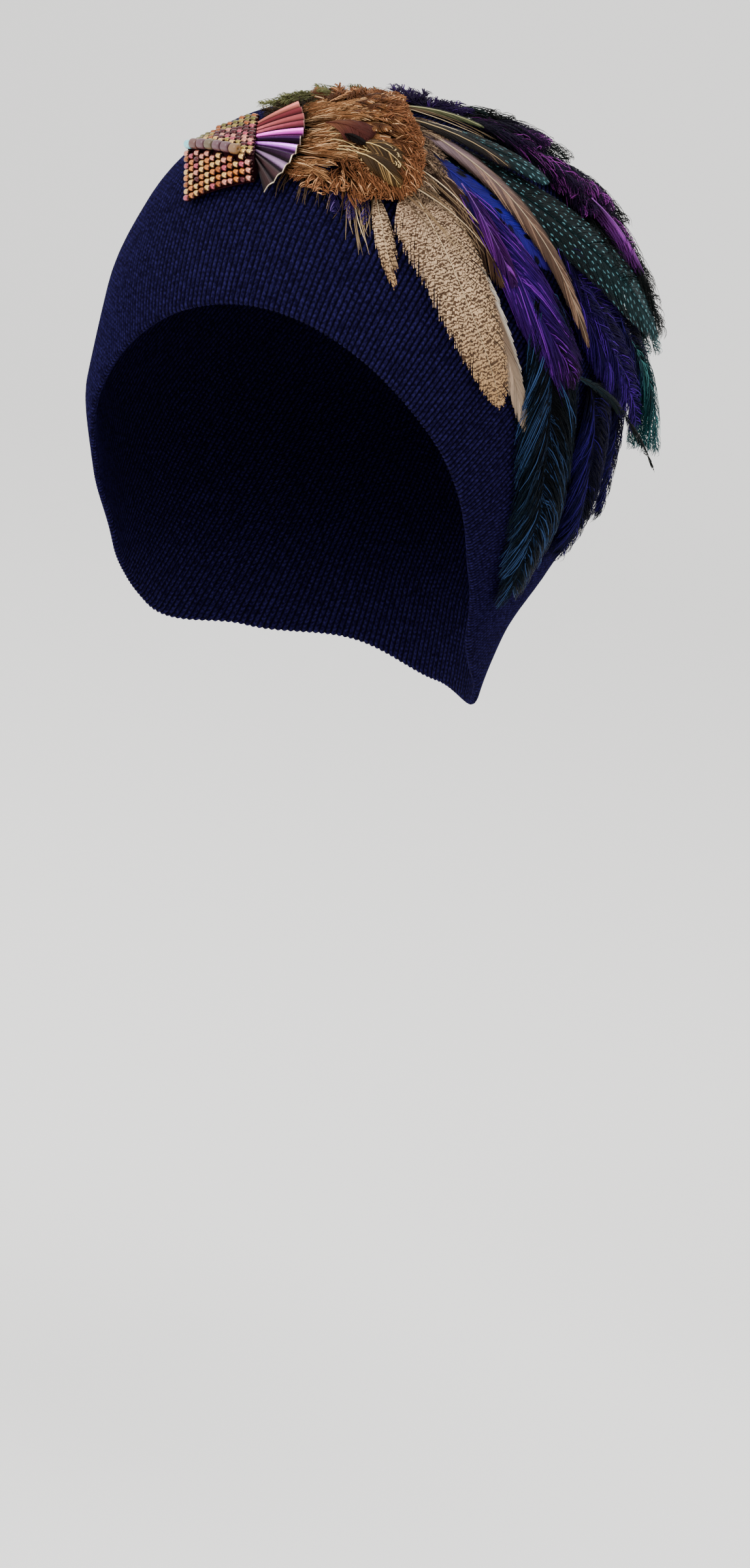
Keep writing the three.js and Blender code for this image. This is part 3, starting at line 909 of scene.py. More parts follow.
@dataclass(frozen=True)
class PleatedFoil(Finish):
    """Metallised ribbon, heat-pleated: rose at the top, pink-violet, then smoky below, with painted shade in
    its valleys.
    """

    # The near-black flutes are painted shade of deep valleys between bright flutes; the alternating lighter
    # and darker top flutes are partly the foil's own colours, partly painted highlight and shade
    flutes: tuple[str, ...] = (
        "#b8645a", "#6e2c32", "#a04e50", "#70303a", "#cc44b8", "#1a0620", "#c468e0", "#1c0a1c", "#8c6c90",
        "#3a2628", "#2c1c1c",
    )
    # Painted shade of the valleys between flutes
    valley: str = "#0c0307"
    rim: str = "#cdbb9e"
    # Where the painted shade of a flute's valley sets in, where its cut end starts, and where down the fan
    # that end pales
    valley_shade_range: tuple[float, float] = (0.3, 0.85)
    valley_shade_share: float = 0.96
    end_range: tuple[float, float] = (0.968, 0.99)
    pale_range: tuple[float, float] = (0.5, 0.62)
    least_pale: float = 0.12
    grain: float = 2 / 3
    roughness_range: tuple[float, float] = (0.22, 0.4)
    metallic: float = 0.85
    specular: float = 0.2

    def dress(self, tree: Tree, shader: bpy.types.Node) -> None:
        """Colour the flutes one after another, paint shade into their valleys and pale their cut ends.

        Args:
            tree: The material's nodes.
            shader: Its surface shader.
        """
        read = {
            key: add_node(tree, "ShaderNodeAttribute", attribute_name=key).outputs["Fac"]
            for key in ("flute", "out", "valley")
        }
        stops = [(i / len(self.flutes), colour) for i, colour in enumerate(self.flutes)]
        ramp = add_node(tree, "ShaderNodeValToRGB", {"Fac": read["flute"]}, stops=stops)
        ramp.color_ramp.interpolation = "CONSTANT"
        # Painted shade: each flute mixes towards the near-black valley colour near its valley
        deep = add_node(
            tree, "ShaderNodeMapRange",
            {
                "Value": read["valley"], "From Min": self.valley_shade_range[0],
                "From Max": self.valley_shade_range[1], "To Max": self.valley_shade_share,
            },
            interpolation_type="SMOOTHSTEP",
        )
        sunk = add_node(
            tree, "ShaderNodeMix",
            {"Factor": deep, MIX_UNDER: ramp, MIX_OVER: linear(self.valley)},
            data_type="RGBA",
        )
        end = add_node(
            tree, "ShaderNodeMapRange",
            {"Value": read["out"], "From Min": self.end_range[0], "From Max": self.end_range[1]},
            interpolation_type="SMOOTHSTEP",
        )
        lower = add_node(
            tree, "ShaderNodeMapRange",
            {
                "Value": read["flute"], "From Min": self.pale_range[0], "From Max": self.pale_range[1],
                "To Min": self.least_pale, "To Max": 1.0,
            },
        )
        bare = add_node(tree, "ShaderNodeMath", {0: end, 1: lower}, operation="MULTIPLY")
        colour = add_node(
            tree, "ShaderNodeMix",
            {"Factor": bare, MIX_UNDER: sunk.outputs[2], MIX_OVER: linear(self.rim)},
            data_type="RGBA",
        )
        tree.links.new(colour.outputs[2], shader.inputs["Base Color"])
        where = add_node(tree, "ShaderNodeTexCoord").outputs["Object"]
        grain = add_node(
            tree, "ShaderNodeTexNoise", {"Vector": where, "Scale": 1 / (self.grain * MM), "Detail": 2.0},
        )
        rough = add_node(
            tree, "ShaderNodeMapRange",
            {
                "Value": grain.outputs["Fac"], "To Min": self.roughness_range[0],
                "To Max": self.roughness_range[1],
            },
        )
        tree.links.new(rough.outputs[0], shader.inputs["Roughness"])
        shader.inputs["Metallic"].default_value = self.metallic
        shader.inputs["Specular IOR Level"].default_value = self.specular


@dataclass(frozen=True)
class Paper(Finish):
    """Seamless studio paper: pale, even and matte."""

    colour: str = "#f4f3f1"
    mottle: float = 125.0
    roughness_range: tuple[float, float] = (0.8, 0.95)

    def dress(self, tree: Tree, shader: bpy.types.Node) -> None:
        """Give the paper a barely visible mottle.

        Args:
            tree: The material's nodes.
            shader: Its surface shader.
        """
        where = add_node(tree, "ShaderNodeTexCoord").outputs["Object"]
        mottle = add_node(tree, "ShaderNodeTexNoise", {"Vector": where, "Scale": 1 / (self.mottle * MM)})
        rough = add_node(
            tree, "ShaderNodeMapRange",
            {
                "Value": mottle.outputs["Fac"], "To Min": self.roughness_range[0],
                "To Max": self.roughness_range[1],
            },
        )
        tree.links.new(rough.outputs[0], shader.inputs["Roughness"])
        shader.inputs["Base Color"].default_value = linear(self.colour)


# Strands

@dataclass
class Tresses:
    """Fine closed strands gathered for one mesh, each a three-sided blade along its own path."""

    points: list[Array] = field(default_factory=list)
    quads: list[Array] = field(default_factory=list)
    ends: list[Array] = field(default_factory=list)
    quad_slots: list[Array] = field(default_factory=list)
    end_slots: list[Array] = field(default_factory=list)
    marks: dict[str, list[Array]] = field(default_factory=dict)
    count: int = 0

    def add(
        self, paths: Array, ups: Array, widths: Array, depth: float, slot: int,
        **marks: Array | float,
    ) -> None:
        """Add strands.

        Args:
            paths: Points of each strand, strand by station by coordinate.
            ups: Outward direction at each of those points.
            widths: Full width at each of those points.
            depth: Height of the blade's back over its edges, as a share of its width.
            slot: Material slot of these strands.
            marks: Values at each station that a finish reads.
        """
        strands, stations = widths.shape
        along = np.gradient(paths, axis=1)
        side = unit(np.cross(along, ups)) * (widths / 2)[..., None]
        back = unit(np.cross(side, along)) * (widths * depth)[..., None]
        ring = np.stack([paths - side, paths + side, paths + back], axis=2)
        self.points.append(ring.reshape(-1, 3))
        index = np.arange(strands * stations * 3).reshape(strands, stations, 3) + self.count
        near, far = index[:, :-1], index[:, 1:]
        for a, b in ((0, 1), (1, 2), (2, 0)):
            quad = np.stack([near[..., a], near[..., b], far[..., b], far[..., a]], axis=-1)
            self.quads.append(quad.reshape(-1, 4))
            self.quad_slots.append(np.full(len(self.quads[-1]), slot))
        self.ends.append(index[:, 0, ::-1])
        self.ends.append(index[:, -1])
        self.end_slots.append(np.full(2 * strands, slot))
        self.count += strands * stations * 3
        for key, values in marks.items():
            spread = np.broadcast_to(values, widths.shape)
            self.marks.setdefault(key, []).append(np.repeat(spread.reshape(-1), 3))

    def to_object(self, name: str, finishes: Sequence[Finish]) -> bpy.types.Object:
        """Make one mesh of all the strands.

        Args:
            name: Name of the piece.
            finishes: Finishes in slot order.

        Returns:
            The new object.
        """
        faces = [np.concatenate(self.quads), np.concatenate(self.ends)]
        slots = np.concatenate(self.quad_slots + self.end_slots)
        marks = {key: np.concatenate(parts) for key, parts in self.marks.items()}
        materials = [finish.material() for finish in finishes]
        return mesh_object(name, np.concatenate(self.points), faces, materials, marks, slots)


@dataclass(frozen=True)
class Growth:
    """How barbs grow from a shaft. Lengths in millimetres, angles in degrees.

    The fill is the share of the shaft's height that the lowest layer sinks towards the cap, and alike is
    how far the barbs of one clump share their tone.
    """

    spacing: float = 0.55
    width: float = 0.42
    depth: float = 0.35
    sweep: float = 34.0
    ragged: float = 0.05
    clump: int = 7
    gather: float = 0.25
    camber: float = 0.5
    fluff: float = 0.15
    curl: float = 0.0
    layers: int = 1
    fill: float = 0.0
    alike: float = 0.3
    stations: int = 5
    first: float = 0.02
    last: float = 0.985
    shaft: float = 0.9


@dataclass(frozen=True)
class BarbForm:
    """Proportions that the barbs and shafts of every feather share.

    The jitter of a root is a share of the spacing, the least reach is a share of the feather's width, and
    the powers bend a barb forward, outward and towards its clump.
    """

    fewest: int = 6
    halvings: int = 18
    jitter: float = 0.3
    lean_range: tuple[float, float] = (0.5, 1.8)
    reach_range: tuple[float, float] = (0.3, 1.25)
    least_reach: float = 0.04
    forward_power: float = 1.12
    outward_power: float = 1.15
    gather_power: float = 1.6
    tone_gain: float = 1.3
    layer_rise: float = 0.18
    loft_turn: float = 0.75 * math.pi
    root_taper: float = 1.15
    tip_taper: float = 0.75
    taper_power: float = 2.2
    least_taper: float = 0.25
    shaft_station: float = 4.0
    shaft_end: float = 0.97
    shaft_stand: float = 0.1
    shaft_taper: float = 0.8
    shaft_depth: float = 0.5


BARB = BarbForm()
VANE = Growth(spacing=0.42, width=0.6, depth=0.14, ragged=0.03, gather=0.1, fluff=0.08, shaft=0.6)
LOOSE = Growth(
    spacing=0.5, width=0.3, depth=0.3, sweep=15.0, ragged=0.22, gather=0.6, alike=0.6, stations=6, shaft=0.6,
)
SOFT = Growth(
    spacing=0.48, width=0.35, sweep=28.0, ragged=0.25, clump=8, gather=0.6, camber=1.2, fluff=2.6,
    curl=0.35, layers=3, alike=0.55, stations=5, last=0.93, shaft=0.5,
)


@dataclass(frozen=True)
class Feather:
    """One feather: a shaft with barbs on both sides that together fill its outline."""

    name: str
    quill: Quill
    width: float
    belly: float
    finish: Finish
    slot: str = ""
    growth: Growth = VANE
    root_share: float = 0.2
    tip_rounding: float = 2.2
    stand: float = 0.35

    def half_width(self, t: Array) -> Array:
        """Half width of the outline at shares of the length.

        Args:
            t: Shares of the shaft's length.

        Returns:
            Half width at each share.
        """
        rise = np.clip(t / self.belly, 0, 1)
        fall = np.clip((t - self.belly) / (1 - self.belly), 0, 1)
        grown = self.root_share + (1 - self.root_share) * rise * (2 - rise)
        return self.width / 2 * grown * np.sqrt(1 - fall ** self.tip_rounding)

    def reach(self, t: Array, sweep: Array, length: float) -> Array:
        """Distance to the side at which barbs from places on the shaft meet the outline.

        Args:
            t: Shares of the shaft's length at the barbs' roots.
            sweep: Angle of each barb to the shaft, in radians.
            length: Length of the shaft.

        Returns:
            Distance of each barb's end from the shaft.
        """
        low = np.zeros_like(t)
        high = np.full_like(t, self.width / 2)
        for _ in range(BARB.halvings):
            middle = (low + high) / 2
            inside = self.half_width(t + middle / (np.tan(sweep) * length)) > middle
            low = np.where(inside, middle, low)
            high = np.where(inside, high, middle)
        return low

    def grow(self, tresses: Tresses, rng: np.random.Generator, slot: int = 0) -> None:
        """Grow the barbs and the shaft.

        Args:
            tresses: Mesh that takes them.
            rng: Source of the small irregularities.
            slot: Material slot of this feather.
        """
        growth, quill = self.growth, self.quill
        length = quill.length()
        for layer in range(growth.layers):
            for side in (-1.0, 1.0):
                count = int(length * (growth.last - growth.first) / growth.spacing)
                count = max(BARB.fewest, count)
                t = np.linspace(growth.first, growth.last, count)
                t = t + rng.normal(0, BARB.jitter * growth.spacing / length, count)
                lean = np.clip(1 + rng.normal(0, growth.ragged, count), *BARB.lean_range)
                lean = np.radians(growth.sweep) * lean
                reach = self.reach(np.clip(t, 0, 1), lean, length)
                reach = reach * np.clip(1 + rng.normal(0, growth.ragged, count), *BARB.reach_range)
                reach = np.maximum(reach, BARB.least_reach * self.width)
                run = reach / (np.tan(lean) * length)
                groups = np.cumsum(rng.random(count) < 1 / growth.clump)
                self.lay(tresses, rng, slot, side, t, reach, run, groups, layer)
        self.lay_shaft(tresses, slot, length)

    def lay(
        self, tresses: Tresses, rng: np.random.Generator, slot: int, side: float, t: Array,
        reach: Array, run: Array, groups: Array, layer: int,
    ) -> None:
        """Lay the barbs of one side over the cap.

        Args:
            tresses: Mesh that takes them.
            rng: Source of the small irregularities.
            slot: Material slot.
            side: Minus one or one.
            t: Shares of the shaft's length at the barbs' roots.
            reach: Distance of each barb's end from the shaft.
            run: Share of the length that each barb runs forward.
            groups: Number of the clump that each barb belongs to.
            layer: Number of the layer.
        """
        growth, quill = self.growth, self.quill
        u = np.linspace(0, 1, growth.stations)[None, :]
        members = np.bincount(groups)
        mean_end = (np.bincount(groups, t + run) / members)[groups]
        mean_reach = (np.bincount(groups, reach) / members)[groups]
        pull = growth.gather * u ** BARB.gather_power
        bow = np.exp(rng.normal(0, growth.curl, len(t)))[:, None] if growth.curl else 1.0
        station = t[:, None] + run[:, None] * u ** (BARB.forward_power * bow)
        station = station + (mean_end - t - run)[:, None] * pull
        across = reach[:, None] * (1 - (1 - u) ** BARB.outward_power)
        across = across + (mean_reach - reach)[:, None] * pull
        shared = rng.random(len(members))[groups]
        tone = growth.alike * shared + (1 - growth.alike) * rng.random(len(t))
        tone = np.clip(0.5 + BARB.tone_gain * (tone - 0.5), 0, 1)
        rise = rng.random(len(t)) * growth.fluff + BARB.layer_rise * layer
        sunk = growth.fill * layer / max(1, growth.layers - 1)
        half = self.width / 2
        camber = growth.camber * (1 - np.clip(across / half, 0, 1) ** 2)
        loft = rise[:, None] * np.sin(BARB.loft_turn * u) if growth.fluff else 0.0
        height = quill.height(station) * (1 - sunk) + self.stand + camber + loft
        paths, ups = CAP.beside(quill, station, side * across, height)
        taper = BARB.root_taper - BARB.tip_taper * u ** BARB.taper_power
        taper = np.clip(taper, BARB.least_taper, 1.0)
        widths = growth.width * taper * np.ones_like(station)
        length = quill.length()
        tresses.add(
            paths, ups, widths, growth.depth, slot,
            along=station * length, across=side * across, down=np.clip(station, 0, 1),
            out=np.clip(across / half, 0, 1), tone=tone[:, None], shaft=0.0,
        )

    def lay_shaft(self, tresses: Tresses, slot: int, length: float) -> None:
        """Lay the tapering shaft.

        Args:
            tresses: Mesh that takes it.
            slot: Material slot.
            length: Length of the shaft.
        """
        stations = max(BARB.fewest, int(length / BARB.shaft_station))
        t = np.linspace(0, BARB.shaft_end, stations)[None, :]
        height = self.quill.height(t) + self.stand + self.growth.camber + BARB.shaft_stand
        paths, ups = CAP.beside(self.quill, t, np.zeros_like(t), height)
        widths = self.growth.shaft * (1 - BARB.shaft_taper * t)
        tresses.add(
            paths, ups, widths, BARB.shaft_depth, slot,
            along=t * length, across=0.0, down=t, out=0.0, tone=0.5, shaft=1.0,
        )

    def build(self, seed: int) -> bpy.types.Object:
        """Make the feather as a piece that stands for its node.

        Args:
            seed: Seed of its irregularities.

        Returns:
            The finished piece.
        """
        tresses = Tresses()
        self.grow(tresses, np.random.default_rng(seed))
        piece = tresses.to_object(f"{self.name}_barbs", [self.finish])
        return seat(piece, self.slot, self.name)


# Knit cap

@dataclass(frozen=True)
class KnitCap:
    """Deep rib-knit cap, open at the face and the neck."""

    form: CapForm = CAP
    ribs: int = 320
    columns_per_rib: int = 4
    outer_rows: int = 42
    inner_rows: int = 10
    rim_rows: int = 3
    pole_share: float = 0.01
    rib_depth: float = 0.55
    inner_depth: float = 0.25
    least_pitch: float = 0.9
    rim_roll: float = 0.5
    fade_from: float = 0.15
    groove_power: float = 1.5
    finish: Finish = RibKnit("acrylic_rib_knit")

    def normals(self, points: Array) -> Array:
        """Outward normals of a grid of points, rows from the pole and columns round it.

        Args:
            points: Points, row by column by coordinate.

        Returns:
            Unit normal at each point.
        """
        down = np.gradient(points, axis=0)
        around = np.roll(points, -1, axis=1) - np.roll(points, 1, axis=1)
        return unit(np.cross(down, around))

    def grid(self, rows: int) -> tuple[Array, Array]:
        """Points of the outer face on rows from the pole to the rim.

        Args:
            rows: Number of rows.

        Returns:
            The points, and the turn of each column in degrees.
        """
        columns = self.ribs * self.columns_per_rib
        turn = np.arange(columns) * 360 / columns
        share = np.linspace(self.pole_share, 1, rows)[:, None]
        reach = self.form.rim_reach(turn)[None, :] * share
        directions = self.form.from_pole(reach, np.broadcast_to(turn, reach.shape))
        return self.form.over(directions, 0.0), turn

    def build(self) -> bpy.types.Object:
        """Make the closed wall, rib it and finish it.

        Returns:
            The finished piece.
        """
        outer, turn = self.grid(self.outer_rows)
        inner, _ = self.grid(self.inner_rows)
        inner = inner - self.normals(inner) * self.form.wall
        outward = self.normals(outer)[-1]
        edge = unit(outer[-1] - outer[-2])
        middle = outer[-1] - outward * self.form.wall / 2
        angles = np.linspace(0, np.pi, self.rim_rows + 2)[1:-1]
        half = self.form.wall / 2
        rim = np.stack([
            middle + outward * half * math.cos(a) + edge * (half + self.rim_roll) * math.sin(a)
            for a in angles
        ])
        rows = np.concatenate([outer, rim, inner[::-1]])
        count, columns = rows.shape[:2]
        index = np.arange(count * columns).reshape(count, columns)
        beside = np.roll(index, -1, axis=1)
        quads = np.stack([index[:-1], index[1:], beside[1:], beside[:-1]], axis=-1).reshape(-1, 4)
        first, last = count * columns, count * columns + 1
        top = np.stack([np.full(columns, first), index[0], beside[0]], axis=-1)
        under = np.stack([np.full(columns, last), beside[-1], index[-1]], axis=-1)
        points = np.concatenate([rows.reshape(-1, 3), [rows[0].mean(0), rows[-1].mean(0)]])
        course = np.concatenate([
            np.zeros((1, columns)), np.cumsum(np.linalg.norm(np.diff(rows, axis=0), axis=-1), axis=0),
        ])
        pitch = np.linalg.norm(np.roll(rows, -1, axis=1) - rows, axis=-1) * self.columns_per_rib
        fade = np.clip(pitch / self.least_pitch - self.fade_from, 0, 1)
        fade[len(outer) + self.rim_rows:] *= self.inner_depth / self.rib_depth
        rib = np.broadcast_to(turn / 360 * self.ribs, course.shape)
        marks = {
            "rib": np.append(rib.ravel(), (0.5, 0.5)),
            "course": np.append(course.ravel(), (0, 0)),
            "rib_fade": np.append(fade.ravel(), (0, 0)),
        }
        faces = [quads, np.concatenate([top, under])]
        piece = mesh_object("knit_cap_ribbed", points, faces, [self.finish.material()], marks)
        self.raise_ribs(piece)
        return seat(piece, "rib_knit", "knit_cap")

    def rib_tree(self) -> Tree:
        """Nodes that sink the grooves between the wales.

        Returns:
            The node tree, with an input for the grooves' depth.
        """
        tree = bpy.data.node_groups.new("knit_ribs", "GeometryNodeTree")
        face = tree.interface
        face.new_socket("Geometry", in_out="INPUT", socket_type="NodeSocketGeometry")
        face.new_socket("Groove Depth", in_out="INPUT", socket_type="NodeSocketFloat")
        face.new_socket("Material", in_out="INPUT", socket_type="NodeSocketMaterial")
        face.new_socket("Geometry", in_out="OUTPUT", socket_type="NodeSocketGeometry")
        given = add_node(tree, "NodeGroupInput")
        rib = add_node(tree, "GeometryNodeInputNamedAttribute", {"Name": "rib"}, data_type="FLOAT")
        fade = add_node(tree, "GeometryNodeInputNamedAttribute", {"Name": "rib_fade"}, data_type="FLOAT")
        turn = add_node(
            tree, "ShaderNodeMath", {0: rib.outputs["Attribute"], 1: math.tau}, operation="MULTIPLY",
        )
        wave = add_node(tree, "ShaderNodeMath", {0: turn}, operation="COSINE")
        groove = add_node(tree, "ShaderNodeMath", {0: wave, 1: 0.5, 2: 0.5}, operation="MULTIPLY_ADD")
        narrow = add_node(tree, "ShaderNodeMath", {0: groove, 1: self.groove_power}, operation="POWER")
        faded = add_node(
            tree, "ShaderNodeMath", {0: narrow, 1: fade.outputs["Attribute"]}, operation="MULTIPLY",
        )
        sunk = add_node(
            tree, "ShaderNodeMath", {0: faded, 1: given.outputs["Groove Depth"]}, operation="MULTIPLY",
        )
        inward = add_node(tree, "ShaderNodeMath", {0: sunk, 1: -1.0}, operation="MULTIPLY")
        normal = add_node(tree, "GeometryNodeInputNormal")
        offset = add_node(tree, "ShaderNodeVectorMath", {0: normal, "Scale": inward}, operation="SCALE")
        moved = add_node(
            tree, "GeometryNodeSetPosition", {"Geometry": given.outputs["Geometry"], "Offset": offset},
        )
        real = add_node(tree, "GeometryNodeRealizeInstances", {"Geometry": moved})
        dressed = add_node(
            tree, "GeometryNodeSetMaterial", {"Geometry": real, "Material": given.outputs["Material"]},
        )
        add_node(tree, "NodeGroupOutput", {"Geometry": dressed})
        return tree

    def raise_ribs(self, piece: bpy.types.Object) -> None:
        """Rib the wall with the node tree and keep the result as a plain mesh."""
        values = {"Groove Depth": self.rib_depth * MM, "Material": self.finish.material()}
        apply_tree(piece, self.rib_tree(), values)


def apply_tree(piece: bpy.types.Object, tree: Tree, values: Mapping[str, Any]) -> None:
    """Run a node tree on an object and keep the result as its mesh.

    Args:
        piece: Object whose mesh the tree changes.
        tree: Geometry node tree.
        values: Values of the tree's named inputs.
    """
    modifier = piece.modifiers.new("shape", "NODES")
    modifier.node_group = tree
    for item in tree.interface.items_tree:
        if item.item_type == "SOCKET" and item.in_out == "INPUT" and item.name in values:
            modifier[item.identifier] = values[item.name]
    bpy.context.view_layer.update()
    graph = bpy.context.evaluated_depsgraph_get()
    made = bpy.data.meshes.new_from_object(piece.evaluated_get(graph), depsgraph=graph)
    piece.modifiers.remove(modifier)
    old = piece.data
    piece.data = made
    made.name = piece.name
    bpy.data.meshes.remove(old)


# Feathers and plumes of the spray

TAN = Plumage(
    "barred_flank_feather", root="#9a8068", body="#bc9e7c", tip="#9c7a54", edge="#b09272",
    shaft="#d0b894", mark=Mark.BARRED, ink="#463222", pitch=1.1, contrast=0.2, specular=0.1,
)
PALE = Plumage(
    "pale_saddle_feather", root="#5b5068", body="#5e4634", tip="#8a7866", edge="#d2c7b8", shaft="#8d7862",
    edge_side=1.0, edge_from=0.45, streak_and_glint="#8e7864", streak_and_glint_from=0.7, contrast=0.3, specular=0.1,
)
HACKLE = Plumage(
    "brown_neck_hackle", root="#2a1b14", body="#2f2018", tip="#3a281c", edge="#20140e", shaft="#7c6650",
    streak_and_glint="#96785c", streak_and_glint_from=0.72, contrast=0.5,
)
BLUE = Plumage(
    "blue_dyed_feather", root="#0e0838", body="#190f66", tip="#1a0a4c", edge="#1e1274", shaft="#241a70",
    mark=Mark.BLOTCHED, ink="#010106", pitch=6.5, contrast=0.4,
)
GUINEA = Plumage(
    "teal_guinea_feather", root="#020608", body="#030e10", tip="#052023", edge="#020b0c", shaft="#081a1c",
    mark=Mark.SPOTTED, ink="#456e74", pitch=3.1, contrast=0.4,
)
BLACK = Plumage(
    "black_dyed_quill", root="#0c1d24", body="#020405", tip="#010202", edge="#04100b", shaft="#070f12",
    contrast=0.5,
)
DARK = Plumage(
    "black_dyed_plume", root="#010102", body="#010203", tip="#020605", edge="#020706", shaft="#010202",
    streak_and_glint="#0a1c1c", streak_and_glint_from=0.65, contrast=0.6,
)
PHEASANT = Plumage(
    "brown_tail_feather", root="#66545a", body="#4c382e", tip="#402c1e", edge="#2a1c16", shaft="#9c8872",
    streak_and_glint="#735a48", streak_and_glint_from=0.7, contrast=0.35, specular=0.08,
)
VIOLET = Plumage(
    "violet_dyed_feather", root="#140720", body="#8a3a98", tip="#1a0826", edge="#5a2470", shaft="#7a448c",
    contrast=0.3,
)
OLIVE = Plumage(
    "olive_dyed_feather", root="#24220f", body="#34341c", tip="#2a3018", edge="#171d0e", shaft="#a8a374",
    streak_and_glint="#5f6040", streak_and_glint_from=0.7, contrast=0.4,
)
UMBER = Plumage(
    "umber_feather", root="#150c07", body="#0a0605", tip="#140c08", edge="#060403", shaft="#a8916a",
    streak_and_glint="#43342a", streak_and_glint_from=0.8, contrast=0.4,
)
STEEL = Plumage(
    "steel_blue_plume", root="#010102", body="#020509", tip="#030c15", edge="#041019", shaft="#02050a",
    edge_from=0.15, streak_and_glint="#24385a", streak_and_glint_from=0.62, contrast=0.6,
)
NAVY = Plumage(
    "navy_dyed_plume", root="#010108", body="#04031c", tip="#020612", edge="#060428", shaft="#02020e",
    edge_from=0.2, streak_and_glint="#1c0c50", streak_and_glint_from=0.66, contrast=0.6,
)
TEAL = Plumage(
    "teal_plume", root="#030a0c", body="#0a2226", tip="#1a464a", edge="#12363a", shaft="#071a1c",
    edge_from=0.3, streak_and_glint="#3a6c6c", streak_and_glint_from=0.6, contrast=0.5,
)
PURPLE = Plumage(
    "purple_dyed_plume", root="#0e063c", body="#2a065a", tip="#16041e", edge="#2c0850", shaft="#180432",
    edge_from=0.2, streak_and_glint="#641c8c", streak_and_glint_from=0.66, contrast=0.6,
)
MARABOU = Plumage(
    "purple_dyed_marabou", root="#040114", body="#100334", tip="#0e0730", edge="#160540", shaft="#0a0224",
    edge_from=0.2, streak_and_glint="#3a1274", streak_and_glint_from=0.62, contrast=0.6,
)
MAGENTA = Plumage(
    "magenta_plume", root="#1f083e", body="#380a4a", tip="#2a0a3a", edge="#3e1050", shaft="#6e4488",
    edge_from=0.3, streak_and_glint="#6e2a86", streak_and_glint_from=0.68, contrast=0.5,
)
CROWN = Plumage(
    "plum_plume", root="#020206", body="#0e081c", tip="#1e0c2a", edge="#05060c", shaft="#0c0616",
    edge_from=0.5, streak_and_glint="#7c2c80", streak_and_glint_from=0.74, contrast=0.6,
)

# Heights over the cap at the root, the middle and the tip, layer by layer
FLAT = (0.4, 0.4, 0.4)
SECOND = (1.6, 1.6, 1.6)
THIRD = (2.8, 2.8, 2.8)
FOURTH = (4.0, 4.0, 4.0)
WISPY = replace(SOFT, sweep=13.0, ragged=0.3, gather=0.75, fluff=1.6, camber=0.8)
SLEEK = replace(VANE, width=0.5, sweep=20.0, ragged=0.1, gather=0.35, alike=0.6)
DEEP = replace(SOFT, layers=6, fill=0.92, fluff=3.0)
# The flank feather lies over the pale one beside it
OVER = (2.6, 2.8, 2.2)

# Name, line, width, place of the widest part, finish, slot and growth
FEATHERS = (
    Feather(
        "flank_feather", Quill((13, 10), (39, 28.5), (75, 50), OVER), 23, 0.24, TAN, "tan_feather",
        replace(VANE, ragged=0.05, gather=0.05, shaft=0.35), root_share=0.8, tip_rounding=1.7,
    ),
    Feather(
        "flank_feather_narrow", Quill((7, 17), (14, 28), (24, 41), FLAT), 8, 0.2, TAN, "tan_feather",
        replace(VANE, width=0.4, sweep=11.0, ragged=0.28, gather=0.4, shaft=0.3), root_share=0.9,
        tip_rounding=1.0,
    ),
    Feather(
        "pale_feather", Quill((9, 5), (47, 25), (91, 48), SECOND), 9, 0.35, PALE, "pale_feather",
        replace(SLEEK, sweep=14.0),
    ),
    Feather(
        "brown_hackle", Quill((7, -3), (33, 8), (54, 20), THIRD), 10, 0.5, HACKLE, "brown_feather", LOOSE,
    ),
    Feather(
        "blue_spotted_feather", Quill((8, -6), (40, 0), (66, -3), THIRD), 11, 0.5, BLUE, "blue_feather",
    ),
    Feather(
        "guinea_feather", Quill((8, -13), (62, -22.5), (114, -58), (1.6, 3, 10)), 22, 0.55, GUINEA,
        "teal_feather", root_share=0.55,
    ),
    Feather(
        "dark_quill", Quill((94, 17), (120, -1), (149, -10), (2.8, 7, 17)), 2.8, 0.5, BLACK,
        "black_feather", LOOSE,
    ),
    Feather(
        "pheasant_quill", Quill((4, -15), (43, -7.5), (93, 3), FOURTH), 8.5, 0.3, PHEASANT,
        "brown_feather", replace(SLEEK, sweep=16.0, shaft=0.8),
    ),
    Feather(
        "guinea_feather_small", Quill((6, -16), (30, -26), (48, -32), (4.6, 4.2, 4.1)), 12, 0.6,
        GUINEA, "teal_feather",
    ),
    Feather(
        "violet_crescent", Quill((61, -45), (78, -53), (92, -55), (6.7, 7.9, 9.4)), 4.4, 0.5, VIOLET,
        "magenta_feather", replace(SLEEK, layers=5, fill=0.5),
    ),
    Feather(
        "olive_feather", Quill((-5, -29), (8, -34), (22, -34), (2.4, 4, 5.2)), 7, 0.45, OLIVE,
        "olive_feather", SLEEK,
    ),
    Feather(
        "dark_brown_feather", Quill((3, -14), (21, -19.5), (36, -19), (5.8, 5, 5.2)), 7, 0.45, UMBER,
        "brown_feather", SLEEK,
    ),
)

PLUMES = (
    Feather(
        "steel_plume", Quill((62, 6), (103, 40), (145, 96), FLAT), 26, 0.45, STEEL, "steel_plume", SOFT,
    ),
    Feather(
        "navy_plume", Quill((103, 6), (134, 15), (160, 54), FLAT), 24, 0.5, NAVY, "navy_plume", SOFT,
    ),
    Feather(
        "navy_plume_outer", Quill((116, -12), (142, -16), (167, 14), FLAT), 17, 0.5, NAVY, "navy_plume",
        SOFT,
    ),
    Feather(
        "teal_tip_plume", Quill((108, -37), (129, -36), (150, -25), (3, 8.6, 13.5)), 11, 0.5, TEAL,
        "teal_feather", replace(SOFT, layers=6, fill=0.7, fluff=2.2, sweep=20.0),
    ),
    Feather(
        "purple_plume", Quill((24, 0), (61, 13), (98, 17), SECOND), 18, 0.6, PURPLE, "purple_plume",
        replace(WISPY, layers=5),
    ),
    Feather(
        "magenta_wisps", Quill((27, 1), (44, 11), (57, 18), FOURTH), 6, 0.5, MAGENTA, "magenta_feather",
        replace(WISPY, fluff=0.8, camber=0.4, layers=1),
    ),
)


